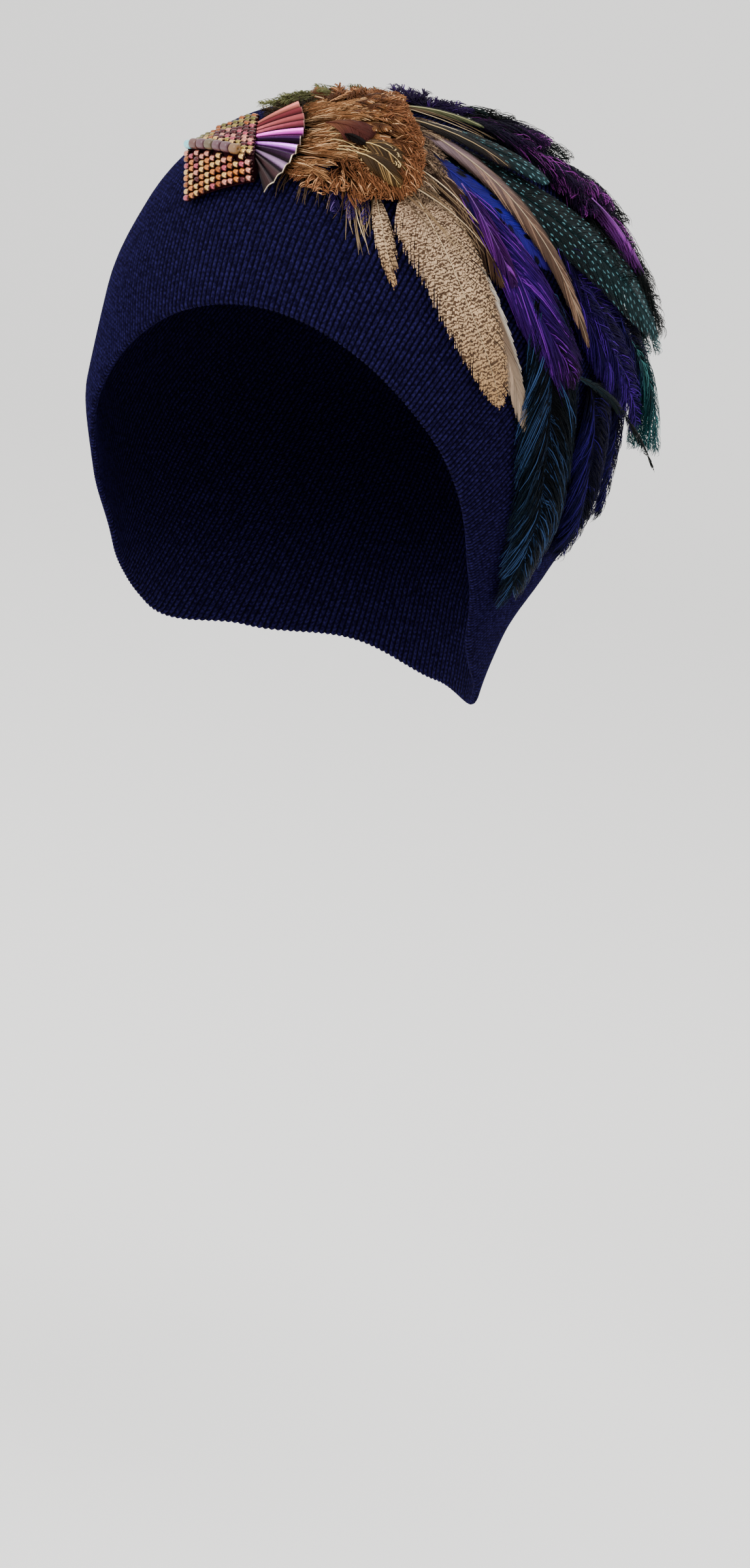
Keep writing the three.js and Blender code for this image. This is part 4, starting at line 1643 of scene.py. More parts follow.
@dataclass(frozen=True)
class Bunch:
    """Soft plume with smaller ones beside it, which together hide the cap."""

    main: Feather
    sides: tuple[Quill, ...]
    width: float
    finishes: tuple[Finish, ...]
    side_layers: int = 3

    def build(self, seed: int) -> bpy.types.Object:
        """Make the bunch as a piece that stands for the main plume's node.

        Args:
            seed: Seed of its irregularities.

        Returns:
            The finished piece.
        """
        tresses = Tresses()
        rng = np.random.default_rng(seed)
        self.main.grow(tresses, rng)
        for index, quill in enumerate(self.sides):
            slot = index % len(self.finishes)
            growth = replace(self.main.growth, layers=self.side_layers)
            side = replace(self.main, quill=quill, width=self.width, growth=growth)
            side.grow(tresses, rng, slot)
        piece = tresses.to_object(f"{self.main.name}_barbs", self.finishes)
        return seat(piece, self.main.slot, self.main.name)


BUNCHES = (
    Bunch(
        Feather(
            "crown_plume_front", Quill((14, -53), (26, -56), (40, -57), (0.4, 3.6, 6)), 22, 0.5, CROWN,
            "magenta_feather", DEEP,
        ),
        (
            Quill((10, -44), (24, -46), (40, -46), (0.4, 2.4, 3.6)),
            Quill((22, -64), (34, -68), (48, -68), (0.4, 3.4, 4.4)),
            Quill((28, -47), (42, -47), (58, -45), (0.4, 3, 4.6)),
            Quill((2, -54), (14, -60), (26, -62), (0.4, 2.6, 4)),
        ),
        13.0, (CROWN, DARK),
    ),
    Bunch(
        Feather(
            "crown_plume_back", Quill((40, -68), (53, -61), (67, -52), (0.4, 3.6, 6.4)), 24, 0.5, CROWN,
            "magenta_feather", DEEP,
        ),
        (
            Quill((38, -56), (52, -50), (66, -42), (0.4, 2.6, 4)),
            Quill((46, -74), (60, -73), (76, -70), (0.4, 4, 6)),
            Quill((56, -58), (70, -58), (86, -57), (1, 4, 6)),
            Quill((60, -48), (76, -44), (92, -44), (0.4, 2.6, 4)),
        ),
        14.0, (CROWN, DARK),
    ),
    Bunch(
        Feather(
            "dark_plume", Quill((53, -69), (82, -64), (116, -70), (0.4, 5, 9.6)), 20, 0.5, DARK,
            "black_feather", DEEP,
        ),
        (
            Quill((78, -58), (96, -60), (116, -62), (3, 5.5, 7)),
            Quill((86, -72), (104, -68), (122, -62), (2, 5, 8)),
        ),
        13.0, (DARK, TEAL),
    ),
    Bunch(
        Feather(
            "purple_marabou", Quill((60, -14), (92, -20), (132, -42), (0.4, 0.8, 3.2)), 20, 0.5, MARABOU,
            "purple_plume", SOFT,
        ),
        (
            Quill((84, -12), (110, -17), (140, -22), (0.4, 3, 6)),
            Quill((92, -30), (116, -38), (142, -38), (0.8, 4, 8)),
            Quill((70, -6), (94, -8), (122, -10), (0.4, 1.5, 3)),
        ),
        16.0, (MARABOU, NAVY),
    ),
)


TUFT = replace(SOFT, sweep=30.0, ragged=0.4, gather=0.25, fluff=1.6, layers=1, shaft=0.2)


@dataclass(frozen=True)
class Tuft:
    """Short soft feathers that spread from one root."""

    name: str
    root: Place
    tips: tuple[Place, ...]
    width: float
    finish: Finish
    slot: str
    root_height: float = 0.4
    tip_height: float = 4.0
    per_tip: int = 6
    spread: float = 3.4
    belly: float = 0.45
    least_height: float = 0.5
    height_power: float = 1.3

    def build(self, seed: int) -> bpy.types.Object:
        """Make the tuft as a piece that stands for its node.

        Args:
            seed: Seed of its irregularities.

        Returns:
            The finished piece.
        """
        tresses = Tresses()
        rng = np.random.default_rng(seed)
        for tip in np.repeat(np.array(self.tips, float), self.per_tip, axis=0):
            tip = tip + rng.normal(0, self.spread, 2)
            root = np.array(self.root) + rng.normal(0, self.spread / 2, 2)
            mid = (root + tip) / 2 + rng.normal(0, self.spread / 3, 2)
            high = self.least_height
            high += (self.tip_height - self.least_height) * rng.random() ** self.height_power
            lift = (self.root_height, (self.root_height + high) / 2, high)
            quill = Quill(tuple(root), tuple(mid), tuple(tip), lift)
            feather = Feather(self.name, quill, self.width, self.belly, self.finish, growth=TUFT)
            feather.grow(tresses, rng)
        nodes = [self.name] if self.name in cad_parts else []
        return seat(tresses.to_object(f"{self.name}_barbs", [self.finish]), self.slot, *nodes)


TUFTS = (
    Tuft(
        "olive_tuft", (-14, -32), ((-42, -15), (-40, -23), (-33, -29), (-24, -36), (-14, -41)), 9,
        Plumage(
            "olive_down", root="#1c170c", body="#38341e", tip="#585a36", edge="#454c2e", shaft="#2e2a18",
            streak_and_glint="#74744e", streak_and_glint_from=0.7, contrast=0.4,
        ),
        "olive_feather",
    ),
    Tuft(
        "purple_tuft", (0, -42), ((-11, -47), (-5, -51), (3, -51), (9, -49)), 8,
        Plumage(
            "purple_down", root="#05020c", body="#150628", tip="#1c0a30", edge="#090414", shaft="#0c0418",
            streak_and_glint="#301450", streak_and_glint_from=0.7, contrast=0.5,
        ),
        "purple_plume",
    ),
    Tuft(
        "umber_ruff", (-27, -5), ((-39, -9), (-37, -14), (-32, -17), (-26, -18)), 6,
        Plumage(
            "umber_down", root="#120b06", body="#1c130a", tip="#2c2012", edge="#201a0e", shaft="#1a120a",
            streak_and_glint="#4a3c22", streak_and_glint_from=0.7, contrast=0.5,
        ),
        "brown_feather", root_height=1.0, tip_height=3.0, per_tip=5, spread=2.0,
    ),
)


# Feather pad

PAD_TILE = replace(
    VANE, spacing=0.6, width=0.7, depth=0.25, sweep=32.0, ragged=0.07, fluff=0.12, camber=0.7, gather=0.2,
    clump=5, stations=4, shaft=0.25,
)
PAD_CRISP = replace(PAD_TILE, width=0.6, sweep=38.0, ragged=0.03, fluff=0.0, gather=0.0)
PAD_LOOSE = replace(PAD_TILE, width=0.3, ragged=0.3, gather=0.5, sweep=20.0, fluff=0.6)
PAD_DOWN = replace(
    SOFT, spacing=0.62, width=0.42, sweep=36.0, ragged=0.35, fluff=1.7, camber=0.7, layers=1, stations=4,
    shaft=0.2,
)
PAD_WISP = replace(
    SOFT, spacing=0.65, width=0.28, sweep=9.0, ragged=0.45, clump=4, gather=0.45, fluff=1.0, camber=0.4,
    layers=1, stations=4, alike=0.4, shaft=0.25,
)
PAD_SLEEK = replace(VANE, sweep=28.0, fluff=0.0)
PAD_FRINGE = replace(SOFT, spacing=0.5, width=0.22, fluff=0.8, camber=0.4, layers=1, shaft=0.2)


class PadSlot(IntEnum):
    """Material slots of the feather pad."""

    SCALE = 0
    RUST = 1
    BUFF = 2
    WINE = 3
    SCROLL = 4
    CREAM = 5
    VIOLET = 6
    EYE = 7
    DUSK = 8
    MOTTLED = 9


PAD_FINISHES: dict[PadSlot, Finish] = {
    PadSlot.SCALE: Plumage(
        "scaled_breast_feather", root="#2a180b", body="#4a2b16", tip="#724a2a", edge="#865e3a",
        shaft="#54341d", mark=Mark.SCALED, ink="#3a1e0c", edge_from=0.6, streak_and_glint="#c09a70",
        streak_and_glint_from=0.9, contrast=0.3,
    ),
    PadSlot.RUST: Plumage(
        "rust_down", root="#3c2212", body="#613a22", tip="#784c30", edge="#6e4428", shaft="#4c2e1a",
        streak_and_glint="#a87c56", streak_and_glint_from=0.7, contrast=0.45,
    ),
    PadSlot.BUFF: Plumage(
        "buff_hackle", root="#38220f", body="#744a2c", tip="#8e6440", edge="#7c5232", shaft="#90694a",
        streak_and_glint="#b8946c", streak_and_glint_from=0.72, contrast=0.65,
    ),
    PadSlot.WINE: Plumage(
        "burgundy_feather", root="#5c3826", body="#3e1e19", tip="#321613", edge="#3a1b17",
        shaft="#42211b", contrast=0.3, specular=0.02,
    ),
    PadSlot.SCROLL: Plumage(
        "gold_scroll_feather", root="#3a2814", body="#261a0c", tip="#34230f", edge="#362411",
        shaft="#c4a872", streak_and_glint="#7c6038", streak_and_glint_from=0.72, contrast=0.4,
    ),
    PadSlot.CREAM: Plumage(
        "cream_fringe", root="#4a3826", body="#6e5a42", tip="#8c7658", edge="#766248", shaft="#8c7658",
        streak_and_glint="#b09c7c", streak_and_glint_from=0.75, contrast=0.5,
    ),
    PadSlot.VIOLET: Plumage(
        "violet_fringe_down", root="#14062e", body="#1c0c38", tip="#2a1c4a", edge="#22123f",
        shaft="#1a0a38", streak_and_glint="#5c4880", streak_and_glint_from=0.72, contrast=0.5,
    ),
    PadSlot.EYE: Plumage(
        "black_eye_feather", root="#0a0504", body="#050303", tip="#0a0504", edge="#120806",
        shaft="#0c0605", contrast=0.2, specular=0.02,
    ),
    PadSlot.DUSK: Plumage(
        "brown_fringe", root="#3a2414", body="#3e2e22", tip="#443628", edge="#423224", shaft="#4a382a",
        streak_and_glint="#78624c", streak_and_glint_from=0.8, contrast=0.5,
    ),
    PadSlot.MOTTLED: Plumage(
        "mottled_flank", root="#34241a", body="#6a5442", tip="#7a6450", edge="#725c4a", shaft="#8a745e",
        mark=Mark.BARRED, ink="#3c2c20", pitch=1.2, streak_and_glint="#9a8468", streak_and_glint_from=0.8, contrast=0.5,
    ),
}


@dataclass(frozen=True)
class PadFeather:
    """Kind of small feather on the pad, with its extra height over the dome."""

    slot: PadSlot
    growth: Growth
    length: float
    width: float
    raise_by: float = 0.0


@dataclass(frozen=True)
class PadRows:
    """Overlapping rows of small feathers, on arcs round the place that they fan out from.

    Tiles cover the upper left. Down covers what lies past its own limits, left and down, and a few
    places among the tiles.
    """

    first: float = 12.0
    last: float = 62.0
    row_step: float = 3.5
    feather_step: float = 4.4
    turn: tuple[float, float] = (-1.5, 1.35)
    stray: float = 0.9
    farthest: float = 1.12
    fan: float = 0.95
    wobble: float = 13.0
    down_from: Place = (10.0, 11.0)
    down_chance: float = 0.12
    length_spread: float = 0.15
    rise: float = 0.02
    tile: PadFeather = PadFeather(PadSlot.SCALE, PAD_TILE, 8.5, 6.6)
    down: PadFeather = PadFeather(PadSlot.RUST, PAD_DOWN, 8.5, 7.5)


@dataclass(frozen=True)
class PadScales:
    """Staggered grid of clear pale-edged feathers over the upper half.

    Two corners stay free, for the burgundy feather and for the hackles.
    """

    start: Place = (-14.0, -22.0)
    columns: int = 6
    rows: int = 5
    column_step: float = 4.2
    row_step: float = 5.0
    row_shift: float = 0.6
    stagger: float = 2.5
    stray: float = 0.7
    right_corner: Place = (-4.0, -2.0)
    left_corner: Place = (-9.0, -4.0)
    heading: float = -38.0
    turn: float = 9.0
    wobble: float = 14.0
    kind: PadFeather = PadFeather(PadSlot.SCALE, PAD_CRISP, 7.0, 5.4, 1.6)


@dataclass(frozen=True)
class EdgeRow:
    """Row of small feathers along an edge, each of one of its kinds."""

    kinds: tuple[PadFeather, ...]
    count: int
    start: Place
    step: Place
    stray: Place
    heading: float
    turn: float
    sag: float = 0.0
    wobble: float = 14.0


SKIRT = EdgeRow(
    (PadFeather(PadSlot.RUST, PAD_DOWN, 10.0, 7.5, 0.4),), count=16, start=(-15.0, 16.5), step=(2.2, -0.1),
    stray=(0.0, 0.8), heading=82.0, turn=-3.5, sag=0.022,
)
RUFF = EdgeRow(
    (
        PadFeather(PadSlot.SCALE, PAD_TILE, 13.0, 6.5, 2.6),
        PadFeather(PadSlot.RUST, PAD_DOWN, 13.0, 6.5, 2.6),
        PadFeather(PadSlot.BUFF, PAD_WISP, 13.0, 6.5, 2.6),
    ),
    count=26, start=(-24.0, -17.0), step=(1.6, -0.4), stray=(0.0, 1.2), heading=-118.0, turn=4.5,
)
RIGHT_SIDE = EdgeRow(
    (PadFeather(PadSlot.RUST, PAD_DOWN, 8.5, 7.0, 1.0),), count=12, start=(11.0, -14.0), step=(0.5, 2.3),
    stray=(0.8, 0.0), heading=-22.0, turn=6.0,
)


@dataclass(frozen=True)
class MottledRow:
    """Mottled feathers that show past the right edge."""

    count: int = 10
    start: Place = (2.0, -15.0)
    step: Place = (1.2, 2.6)
    stray: float = 0.6
    heading: float = -34.0
    turn: float = 7.0
    wobble: float = 6.0
    length: tuple[float, float] = (10.0, 15.0)
    width: float = 7.0
    belly: float = 0.5
    lift: tuple[float, float, float] = (4.4, 4.4, 3.0)


@dataclass(frozen=True)
class Hackles:
    """Long loose hackles that stream from under the fan, shorter at both ends of their row."""

    count: int = 58
    fan_share: float = 0.72
    stray: float = 0.7
    tuck: Place = (1.5, 0.0)
    heading: float = -42.0
    turn: float = 52.0
    wobble: float = 12.0
    length_spread: float = 3.5
    shorter: float = 6.0
    bend: float = 1.2
    root_lift: float = 2.6
    kind: PadFeather = PadFeather(PadSlot.BUFF, PAD_WISP, 17.0, 4.0, 1.2)


@dataclass(frozen=True)
class ShowFeather:
    """Feather that lies on top of the pad."""

    quill: Quill
    width: float
    slot: PadSlot


SHOW_FEATHERS = (
    ShowFeather(Quill((-14, 3), (-6.5, 3.5), (-0.5, 6.5), (7.6, 8.9, 8.4)), 12.0, PadSlot.WINE),
    ShowFeather(Quill((-6.5, 7.2), (-3.5, 7.8), (0, 9), (8.8, 9.2, 9.0)), 3.4, PadSlot.EYE),
    ShowFeather(Quill((-2, 8), (5, 7.5), (13, 10.5), (8.0, 8.4, 6.6)), 8.0, PadSlot.SCROLL),
    ShowFeather(Quill((-1, 12), (6, 13), (13.5, 16), (8.0, 8.4, 6.6)), 7.0, PadSlot.SCROLL),
)


@dataclass(frozen=True)
class Scrolls:
    """Pale curls inside a four-cornered patch, and the long pale barbs that run into it."""

    corners: tuple[Place, ...] = ((-1.5, 9.5), (5.0, 4.5), (12.5, 11.0), (7.0, 17.0))
    curls: int = 60
    curl_points: int = 9
    curl_turn: tuple[float, float] = (1.4, 4.4)
    curl_size: tuple[float, float] = (0.6, 1.2)
    curl_stretch: float = 1.5
    curl_width: float = 0.42
    lines: tuple[Quill, ...] = (
        Quill((-7, 10.5), (2, 10), (11, 12)),
        Quill((-7, 11.6), (2, 11.4), (9, 13.2)),
        Quill((-14, 6.5), (-7, 6), (0, 9)),
        Quill((-14, 8.5), (-7, 8.4), (-1, 10.6)),
        Quill((-15, 4.5), (-9, 3.4), (-3, 5)),
    )
    line_points: int = 12
    line_width: float = 0.45
    stand: float = 3.4
    root_width: float = 1.1
    taper: float = 0.6
    depth: float = 0.4


LOW_WISP = (2.6, 1.4, 0.9)
HIGH_WISP = (5.6, 5.4, 4.4)


@dataclass(frozen=True)
class Wisp:
    """Wisp of fine hairs that hangs over the cap from under the pad."""

    root: Place
    tip: Place
    hairs: int
    slot: PadSlot
    lift: tuple[float, float, float] = LOW_WISP
    stations: int = 9
    root_stray: float = 0.8
    tip_stray: float = 1.3
    length_range: tuple[float, float] = (0.6, 1.02)
    bow: float = 0.8
    mid_station: float = 0.4
    width: float = 0.5
    width_power: float = 0.6
    tip_width: float = 0.08
    depth: float = 0.2
    across: float = 0.3
    out: float = 0.4

    def hang(self, tresses: Tresses, rng: np.random.Generator) -> None:
        """Hang the hairs.

        Args:
            tresses: Mesh that takes them.
            rng: Source of the small irregularities.
        """
        t = np.linspace(0, 1, self.stations)
        width = self.width * (1 - t) ** self.width_power + self.tip_width
        for _ in range(self.hairs):
            start = np.array(self.root) + rng.normal(0, self.root_stray, 2)
            end = np.array(self.tip) + rng.normal(0, self.tip_stray, 2)
            end = start + (end - start) * rng.uniform(*self.length_range)
            bow = np.sin(math.pi * t)[:, None] * rng.normal(0, self.bow, 2)
            places = start + (end - start) * t[:, None] + bow
            path = CAP.on_spray(places, np.interp(t, (0.0, self.mid_station, 1.0), self.lift))
            tresses.add(
                path[None], unit(path - CAP.centre())[None], width[None], self.depth, self.slot,
                along=t[None], across=self.across, down=t[None], out=self.out, tone=rng.random(), shaft=0.0,
            )


WISPS = (
    Wisp((-19, 17), (-19.3, 29), 5, PadSlot.DUSK),
    Wisp((-15, 17), (-12.4, 31), 5, PadSlot.DUSK),
    Wisp((-12.5, 17), (-9.9, 31), 5, PadSlot.DUSK),
    Wisp((-10.5, 17), (-7.2, 29.5), 4, PadSlot.DUSK),
    Wisp((-7, 18), (-2.2, 30), 6, PadSlot.DUSK),
    Wisp((-3, 18), (1.7, 31), 5, PadSlot.DUSK),
    Wisp((-1, 18), (9.6, 38.6), 7, PadSlot.CREAM),
    Wisp((0.5, 18), (13.8, 38), 6, PadSlot.CREAM),
    Wisp((4, 18), (11, 31), 5, PadSlot.CREAM),
    Wisp((14, 15), (40, 22), 4, PadSlot.CREAM, HIGH_WISP),
    Wisp((16, 11), (47, 17), 5, PadSlot.CREAM, HIGH_WISP),
    Wisp((15, 6), (45, 11), 4, PadSlot.CREAM, HIGH_WISP),
    Wisp((4, -18), (33, -26), 5, PadSlot.CREAM, HIGH_WISP),
    Wisp((0, -24), (28, -33), 5, PadSlot.CREAM, HIGH_WISP),
)
# Line and width of the violet points of down along the lower edge
VIOLET_POINTS = (
    (Quill((-4, 20), (-2, 25), (0, 30), (1.4, 1.2, 0.8)), 4.0),
    (Quill((0, 19), (2.5, 24.5), (5, 30), (1.4, 1.2, 0.8)), 4.5),
    (Quill((4, 18), (6.5, 23.5), (9, 29), (1.4, 1.2, 0.8)), 4.0),
)


@dataclass(frozen=True)
class FeatherPad:
    """Oval pad of small overlapping feathers that fan out from beside the brooch."""

    middle: Place = (1.5, -4.0)
    half_width: float = 18.0
    half_length: float = 26.0
    lean: float = 17.0
    source: Place = (-36.0, 8.0)
    fan_edge: Quill = Quill((-30.5, -12.5), (-18.8, 9), (-21, 30))
    # Share of the way out, and height of the dome there
    dome: tuple[tuple[float, float], ...] = (
        (0.0, 6.2), (0.35, 5.8), (0.65, 4.9), (0.86, 3.8), (0.94, 1.6), (1.3, 1.0),
    )
    right_edge: tuple[Place, ...] = (
        (-6, -32), (1.5, -19), (7, -10), (12.5, -3), (16.5, 6), (18, 11), (16, 18), (8, 24),
    )
    lower_edge: tuple[Place, ...] = (
        (-18, 21.5), (-13, 24), (-8, 26.5), (-2, 26.5), (6, 24.5), (13, 21), (18, 16),
    )
    # Share of the way out and height of the felt, over its top and back under it
    felt: tuple[tuple[float, float], ...] = (
        (0.02, 6.0), (0.2, 5.9), (0.4, 5.5), (0.6, 4.9), (0.78, 4.0), (0.88, 2.8), (0.9, 1.6), (0.84, 0.9),
        (0.42, 0.9), (0.02, 0.9),
    )
    felt_sectors: int = 48
    # Width of the felt to the right and to the left, as shares of the pad's
    felt_sides: tuple[float, float] = (0.68, 0.95)
    # How far a small feather's root sinks, and how far its middle and tip rise
    root_sink: float = 0.6
    mid_rise: float = 0.5
    tip_rise: float = 0.9
    least_mid: float = 1.2
    least_tip: float = 0.8
    belly: float = 0.55
    fringe_belly: float = 0.4
    rows: PadRows = PadRows()
    scales: PadScales = PadScales()
    edges: tuple[EdgeRow, ...] = (SKIRT, RUFF, RIGHT_SIDE)
    mottled: MottledRow = MottledRow()
    hackles: Hackles = Hackles()
    scrolls: Scrolls = Scrolls()
    seed: int = 41

    def share(self, places: Array) -> Array:
        """Share of the way from the pad's middle to its edge.

        Args:
            places: Places on the sheet.

        Returns:
            Share at each place.
        """
        lean = math.radians(self.lean)
        left = places[..., 0] - self.middle[0]
        down = places[..., 1] - self.middle[1]
        across = left * math.cos(lean) - down * math.sin(lean)
        along = left * math.sin(lean) + down * math.cos(lean)
        return np.hypot(across / self.half_width, along / self.half_length)

    def height(self, place: Place) -> float:
        """Height of the dome over the cap at a place on the sheet."""
        table = np.array(self.dome)
        return float(np.interp(self.share(np.array(place)), table[:, 0], table[:, 1]))

    def backing(self) -> bpy.types.Object:
        """Make the felt dome under the feathers.

        Returns:
            The dome's object.
        """
        lean = math.radians(self.lean)
        angle = np.arange(self.felt_sectors) * math.tau / self.felt_sectors
        sides = np.where(np.cos(angle) > 0, *self.felt_sides)
        rings = []
        for out, height in self.felt:
            across = self.half_width * out * sides * np.cos(angle)
            along = self.half_length * out * np.sin(angle)
            left = across * math.cos(lean) + along * math.sin(lean)
            down = along * math.cos(lean) - across * math.sin(lean)
            places = np.stack([self.middle[0] + left, self.middle[1] + down], axis=-1)
            rings.append(CAP.on_spray(places, np.full(self.felt_sectors, height)))
        points = np.concatenate(rings)
        index = np.arange(len(points)).reshape(len(self.felt), self.felt_sectors)
        beside = np.roll(index, -1, axis=1)
        quads = np.stack([index[:-1], beside[:-1], beside[1:], index[1:]], axis=-1).reshape(-1, 4)
        faces = [quads, index[:1, ::-1], index[-1:]]
        felt = Felt("rust_felt", "#1e0e06", "#34190b").material()
        return mesh_object("feather_pad_backing", points, faces, [felt])

    def held(self, tip: Array) -> Array:
        """Draw a tip back to the pad's right and lower edges.

        Args:
            tip: Place of a small feather's tip on the sheet.

        Returns:
            The same place, or the nearest one inside the edges.
        """
        left, down = np.array(self.right_edge).T, np.array(self.lower_edge).T
        far = np.interp(tip[1], left[1], left[0])
        low = np.interp(tip[0], down[0], down[1])
        return np.minimum(tip, (far, low))

    def small(self, kind: PadFeather, place: Array, heading: float) -> Feather:
        """Describe one small feather of the pad.

        Args:
            kind: Kind of feather.
            place: Its root on the sheet.
            heading: Its heading in degrees, from left towards down.

        Returns:
            The feather.
        """
        angle = math.radians(heading)
        step = np.array([math.cos(angle), math.sin(angle)]) * kind.length
        root = self.held(np.array(place) + step) - step
        mid, tip = tuple(root + step / 2), tuple(root + step)
        lift = (
            self.height(tuple(root)) - self.root_sink + kind.raise_by,
            max(self.height(mid) + self.mid_rise, self.least_mid) + kind.raise_by,
            max(self.height(tip) + self.tip_rise, self.least_tip) + kind.raise_by,
        )
        quill = Quill(tuple(root), mid, tip, lift)
        return Feather("pad", quill, kind.width, self.belly, PAD_FINISHES[kind.slot], growth=kind.growth)

    def build(self) -> None:
        """Make the pad's feathers and its backing."""
        rng = np.random.default_rng(self.seed)
        tresses = Tresses()
        self.grow_fringe(tresses, rng)
        self.grow_rows(tresses, rng)
        for row in self.edges:
            self.grow_edge(tresses, rng, row)
        self.grow_mottled(tresses, rng)
        self.grow_show(tresses, rng)
        self.grow_hackles(tresses, rng)
        self.grow_scales(tresses, rng)
        plumage = tresses.to_object("feather_pad_plumage", list(PAD_FINISHES.values()))
        seat(plumage, "rust_feather", "feather_pad")
        seat(self.backing(), "rust_feather")

    def grow_rows(self, tresses: Tresses, rng: np.random.Generator) -> None:
        """Grow the overlapping rows that cover the dome.

        Args:
            tresses: Mesh that takes them.
            rng: Source of the small irregularities.
        """
        rows = self.rows
        for ring, distance in enumerate(np.arange(rows.first, rows.last, rows.row_step)):
            step = rows.feather_step / distance
            for angle in np.arange(*rows.turn, step) + (ring % 2) * step / 2:
                place = np.array(self.source) + distance * np.array([math.cos(angle), math.sin(angle)])
                place = place + rng.normal(0, rows.stray, 2)
                if float(self.share(place)) > rows.farthest:
                    continue
                heading = rows.fan * math.degrees(angle) + rng.normal(0, rows.wobble)
                past = place[1] > rows.down_from[1] or place[0] > rows.down_from[0]
                kind = rows.down if past or rng.random() < rows.down_chance else rows.tile
                length = kind.length * math.exp(rng.normal(0, rows.length_spread))
                kind = replace(kind, length=length, raise_by=rows.rise * distance)
                self.small(kind, place, heading).grow(tresses, rng, kind.slot)

    def grow_scales(self, tresses: Tresses, rng: np.random.Generator) -> None:
        """Grow the clear pale-edged feathers that show over the upper half.

        Args:
            tresses: Mesh that takes them.
            rng: Source of the small irregularities.
        """
        grid = self.scales
        for column in range(grid.columns):
            for row in range(grid.rows):
                left = grid.start[0] + grid.column_step * column + grid.row_shift * row
                down = grid.start[1] + grid.row_step * row + grid.stagger * (column % 2)
                left, down = np.array((left, down)) + rng.normal(0, grid.stray, 2)
                if left > grid.right_corner[0] and down > grid.right_corner[1]:
                    continue
                if left < grid.left_corner[0] and down > grid.left_corner[1]:
                    continue
                heading = grid.heading + grid.turn * row + rng.normal(0, grid.wobble)
                feather = self.small(grid.kind, np.array((left, down)), heading)
                feather.grow(tresses, rng, grid.kind.slot)

    def grow_edge(self, tresses: Tresses, rng: np.random.Generator, row: EdgeRow) -> None:
        """Grow one row along an edge.

        Args:
            tresses: Mesh that takes it.
            rng: Source of the small irregularities.
            row: The row.
        """
        for i in range(row.count):
            place = np.array(row.start) + np.array(row.step) * i - (0.0, row.sag * i ** 2)
            place = place + rng.normal() * np.array(row.stray)
            heading = row.heading + row.turn * i + rng.normal(0, row.wobble)
            kind = row.kinds[int(rng.choice(len(row.kinds))) if len(row.kinds) > 1 else 0]
            self.small(kind, place, heading).grow(tresses, rng, kind.slot)

    def grow_mottled(self, tresses: Tresses, rng: np.random.Generator) -> None:
        """Grow the mottled feathers that show past the right edge.

        Args:
            tresses: Mesh that takes them.
            rng: Source of the small irregularities.
        """
        row = self.mottled
        for i in range(row.count):
            root = np.array(row.start) + np.array(row.step) * i + rng.normal(0, row.stray, 2)
            angle = math.radians(row.heading + row.turn * i + rng.normal(0, row.wobble))
            tip = root + np.array([math.cos(angle), math.sin(angle)]) * rng.uniform(*row.length)
            quill = Quill(tuple(root), tuple((root + tip) / 2), tuple(tip), row.lift)
            finish = PAD_FINISHES[PadSlot.MOTTLED]
            feather = Feather("pad", quill, row.width, row.belly, finish, growth=PAD_LOOSE)
            feather.grow(tresses, rng, PadSlot.MOTTLED)

    def grow_hackles(self, tresses: Tresses, rng: np.random.Generator) -> None:
        """Grow the long loose hackles that stream from under the fan.

        Args:
            tresses: Mesh that takes them.
            rng: Source of the small irregularities.
        """
        row = self.hackles
        for i in range(row.count):
            share = (i + rng.random()) / row.count
            place = self.fan_edge.place(np.array(row.fan_share * share))
            place = place + rng.normal(0, row.stray, 2) - row.tuck
            heading = row.heading + row.turn * share + rng.normal(0, row.wobble)
            length = row.kind.length + rng.normal(0, row.length_spread)
            length -= row.shorter * abs(2 * share - 1)
            feather = self.small(replace(row.kind, length=length), place, heading)
            (_, mid, tip), bend = feather.quill.lift, rng.normal(0, row.bend, 2)
            curve = replace(
                feather.quill, mid=tuple(np.array(feather.quill.mid) + bend), lift=(row.root_lift, mid, tip),
            )
            replace(feather, quill=curve).grow(tresses, rng, row.kind.slot)

    def grow_show(self, tresses: Tresses, rng: np.random.Generator) -> None:
        """Grow the burgundy feather and the gold scrolled ones that lie on top.

        Args:
            tresses: Mesh that takes them.
            rng: Source of the small irregularities.
        """
        for show in SHOW_FEATHERS:
            finish = PAD_FINISHES[show.slot]
            feather = Feather("pad", show.quill, show.width, self.belly, finish, growth=PAD_SLEEK)
            feather.grow(tresses, rng, show.slot)
        form = self.scrolls
        corners = np.array(form.corners)
        for _ in range(form.curls):
            a, b = rng.random(2)
            near = (1 - a) * corners[0] + a * corners[1]
            far = (1 - a) * corners[3] + a * corners[2]
            place = (1 - b) * near + b * far
            start = rng.uniform(0, math.tau)
            turn = start + np.linspace(0, rng.uniform(*form.curl_turn), form.curl_points)
            curl = np.stack([form.curl_stretch * np.cos(turn), np.sin(turn)], axis=-1)
            self.stroke(tresses, place + curl * rng.uniform(*form.curl_size), form.curl_width)
        for line in form.lines:
            self.stroke(tresses, line.place(np.linspace(0, 1, form.line_points)), form.line_width)

    def stroke(self, tresses: Tresses, places: Array, width: float) -> None:
        """Lay one pale barb on top of the pad.

        Args:
            tresses: Mesh that takes it.
            places: Places along it on the sheet.
            width: Its width.
        """
        form = self.scrolls
        height = np.array([self.height(place) for place in places]) + form.stand
        path = CAP.on_spray(places, height)
        t = np.linspace(0, 1, len(places))[None, :]
        tresses.add(
            path[None], unit(path - CAP.centre())[None], width * (form.root_width - form.taper * t),
            form.depth, PadSlot.SCROLL,
            along=t, across=0.0, down=t, out=0.0, tone=0.5, shaft=1.0,
        )

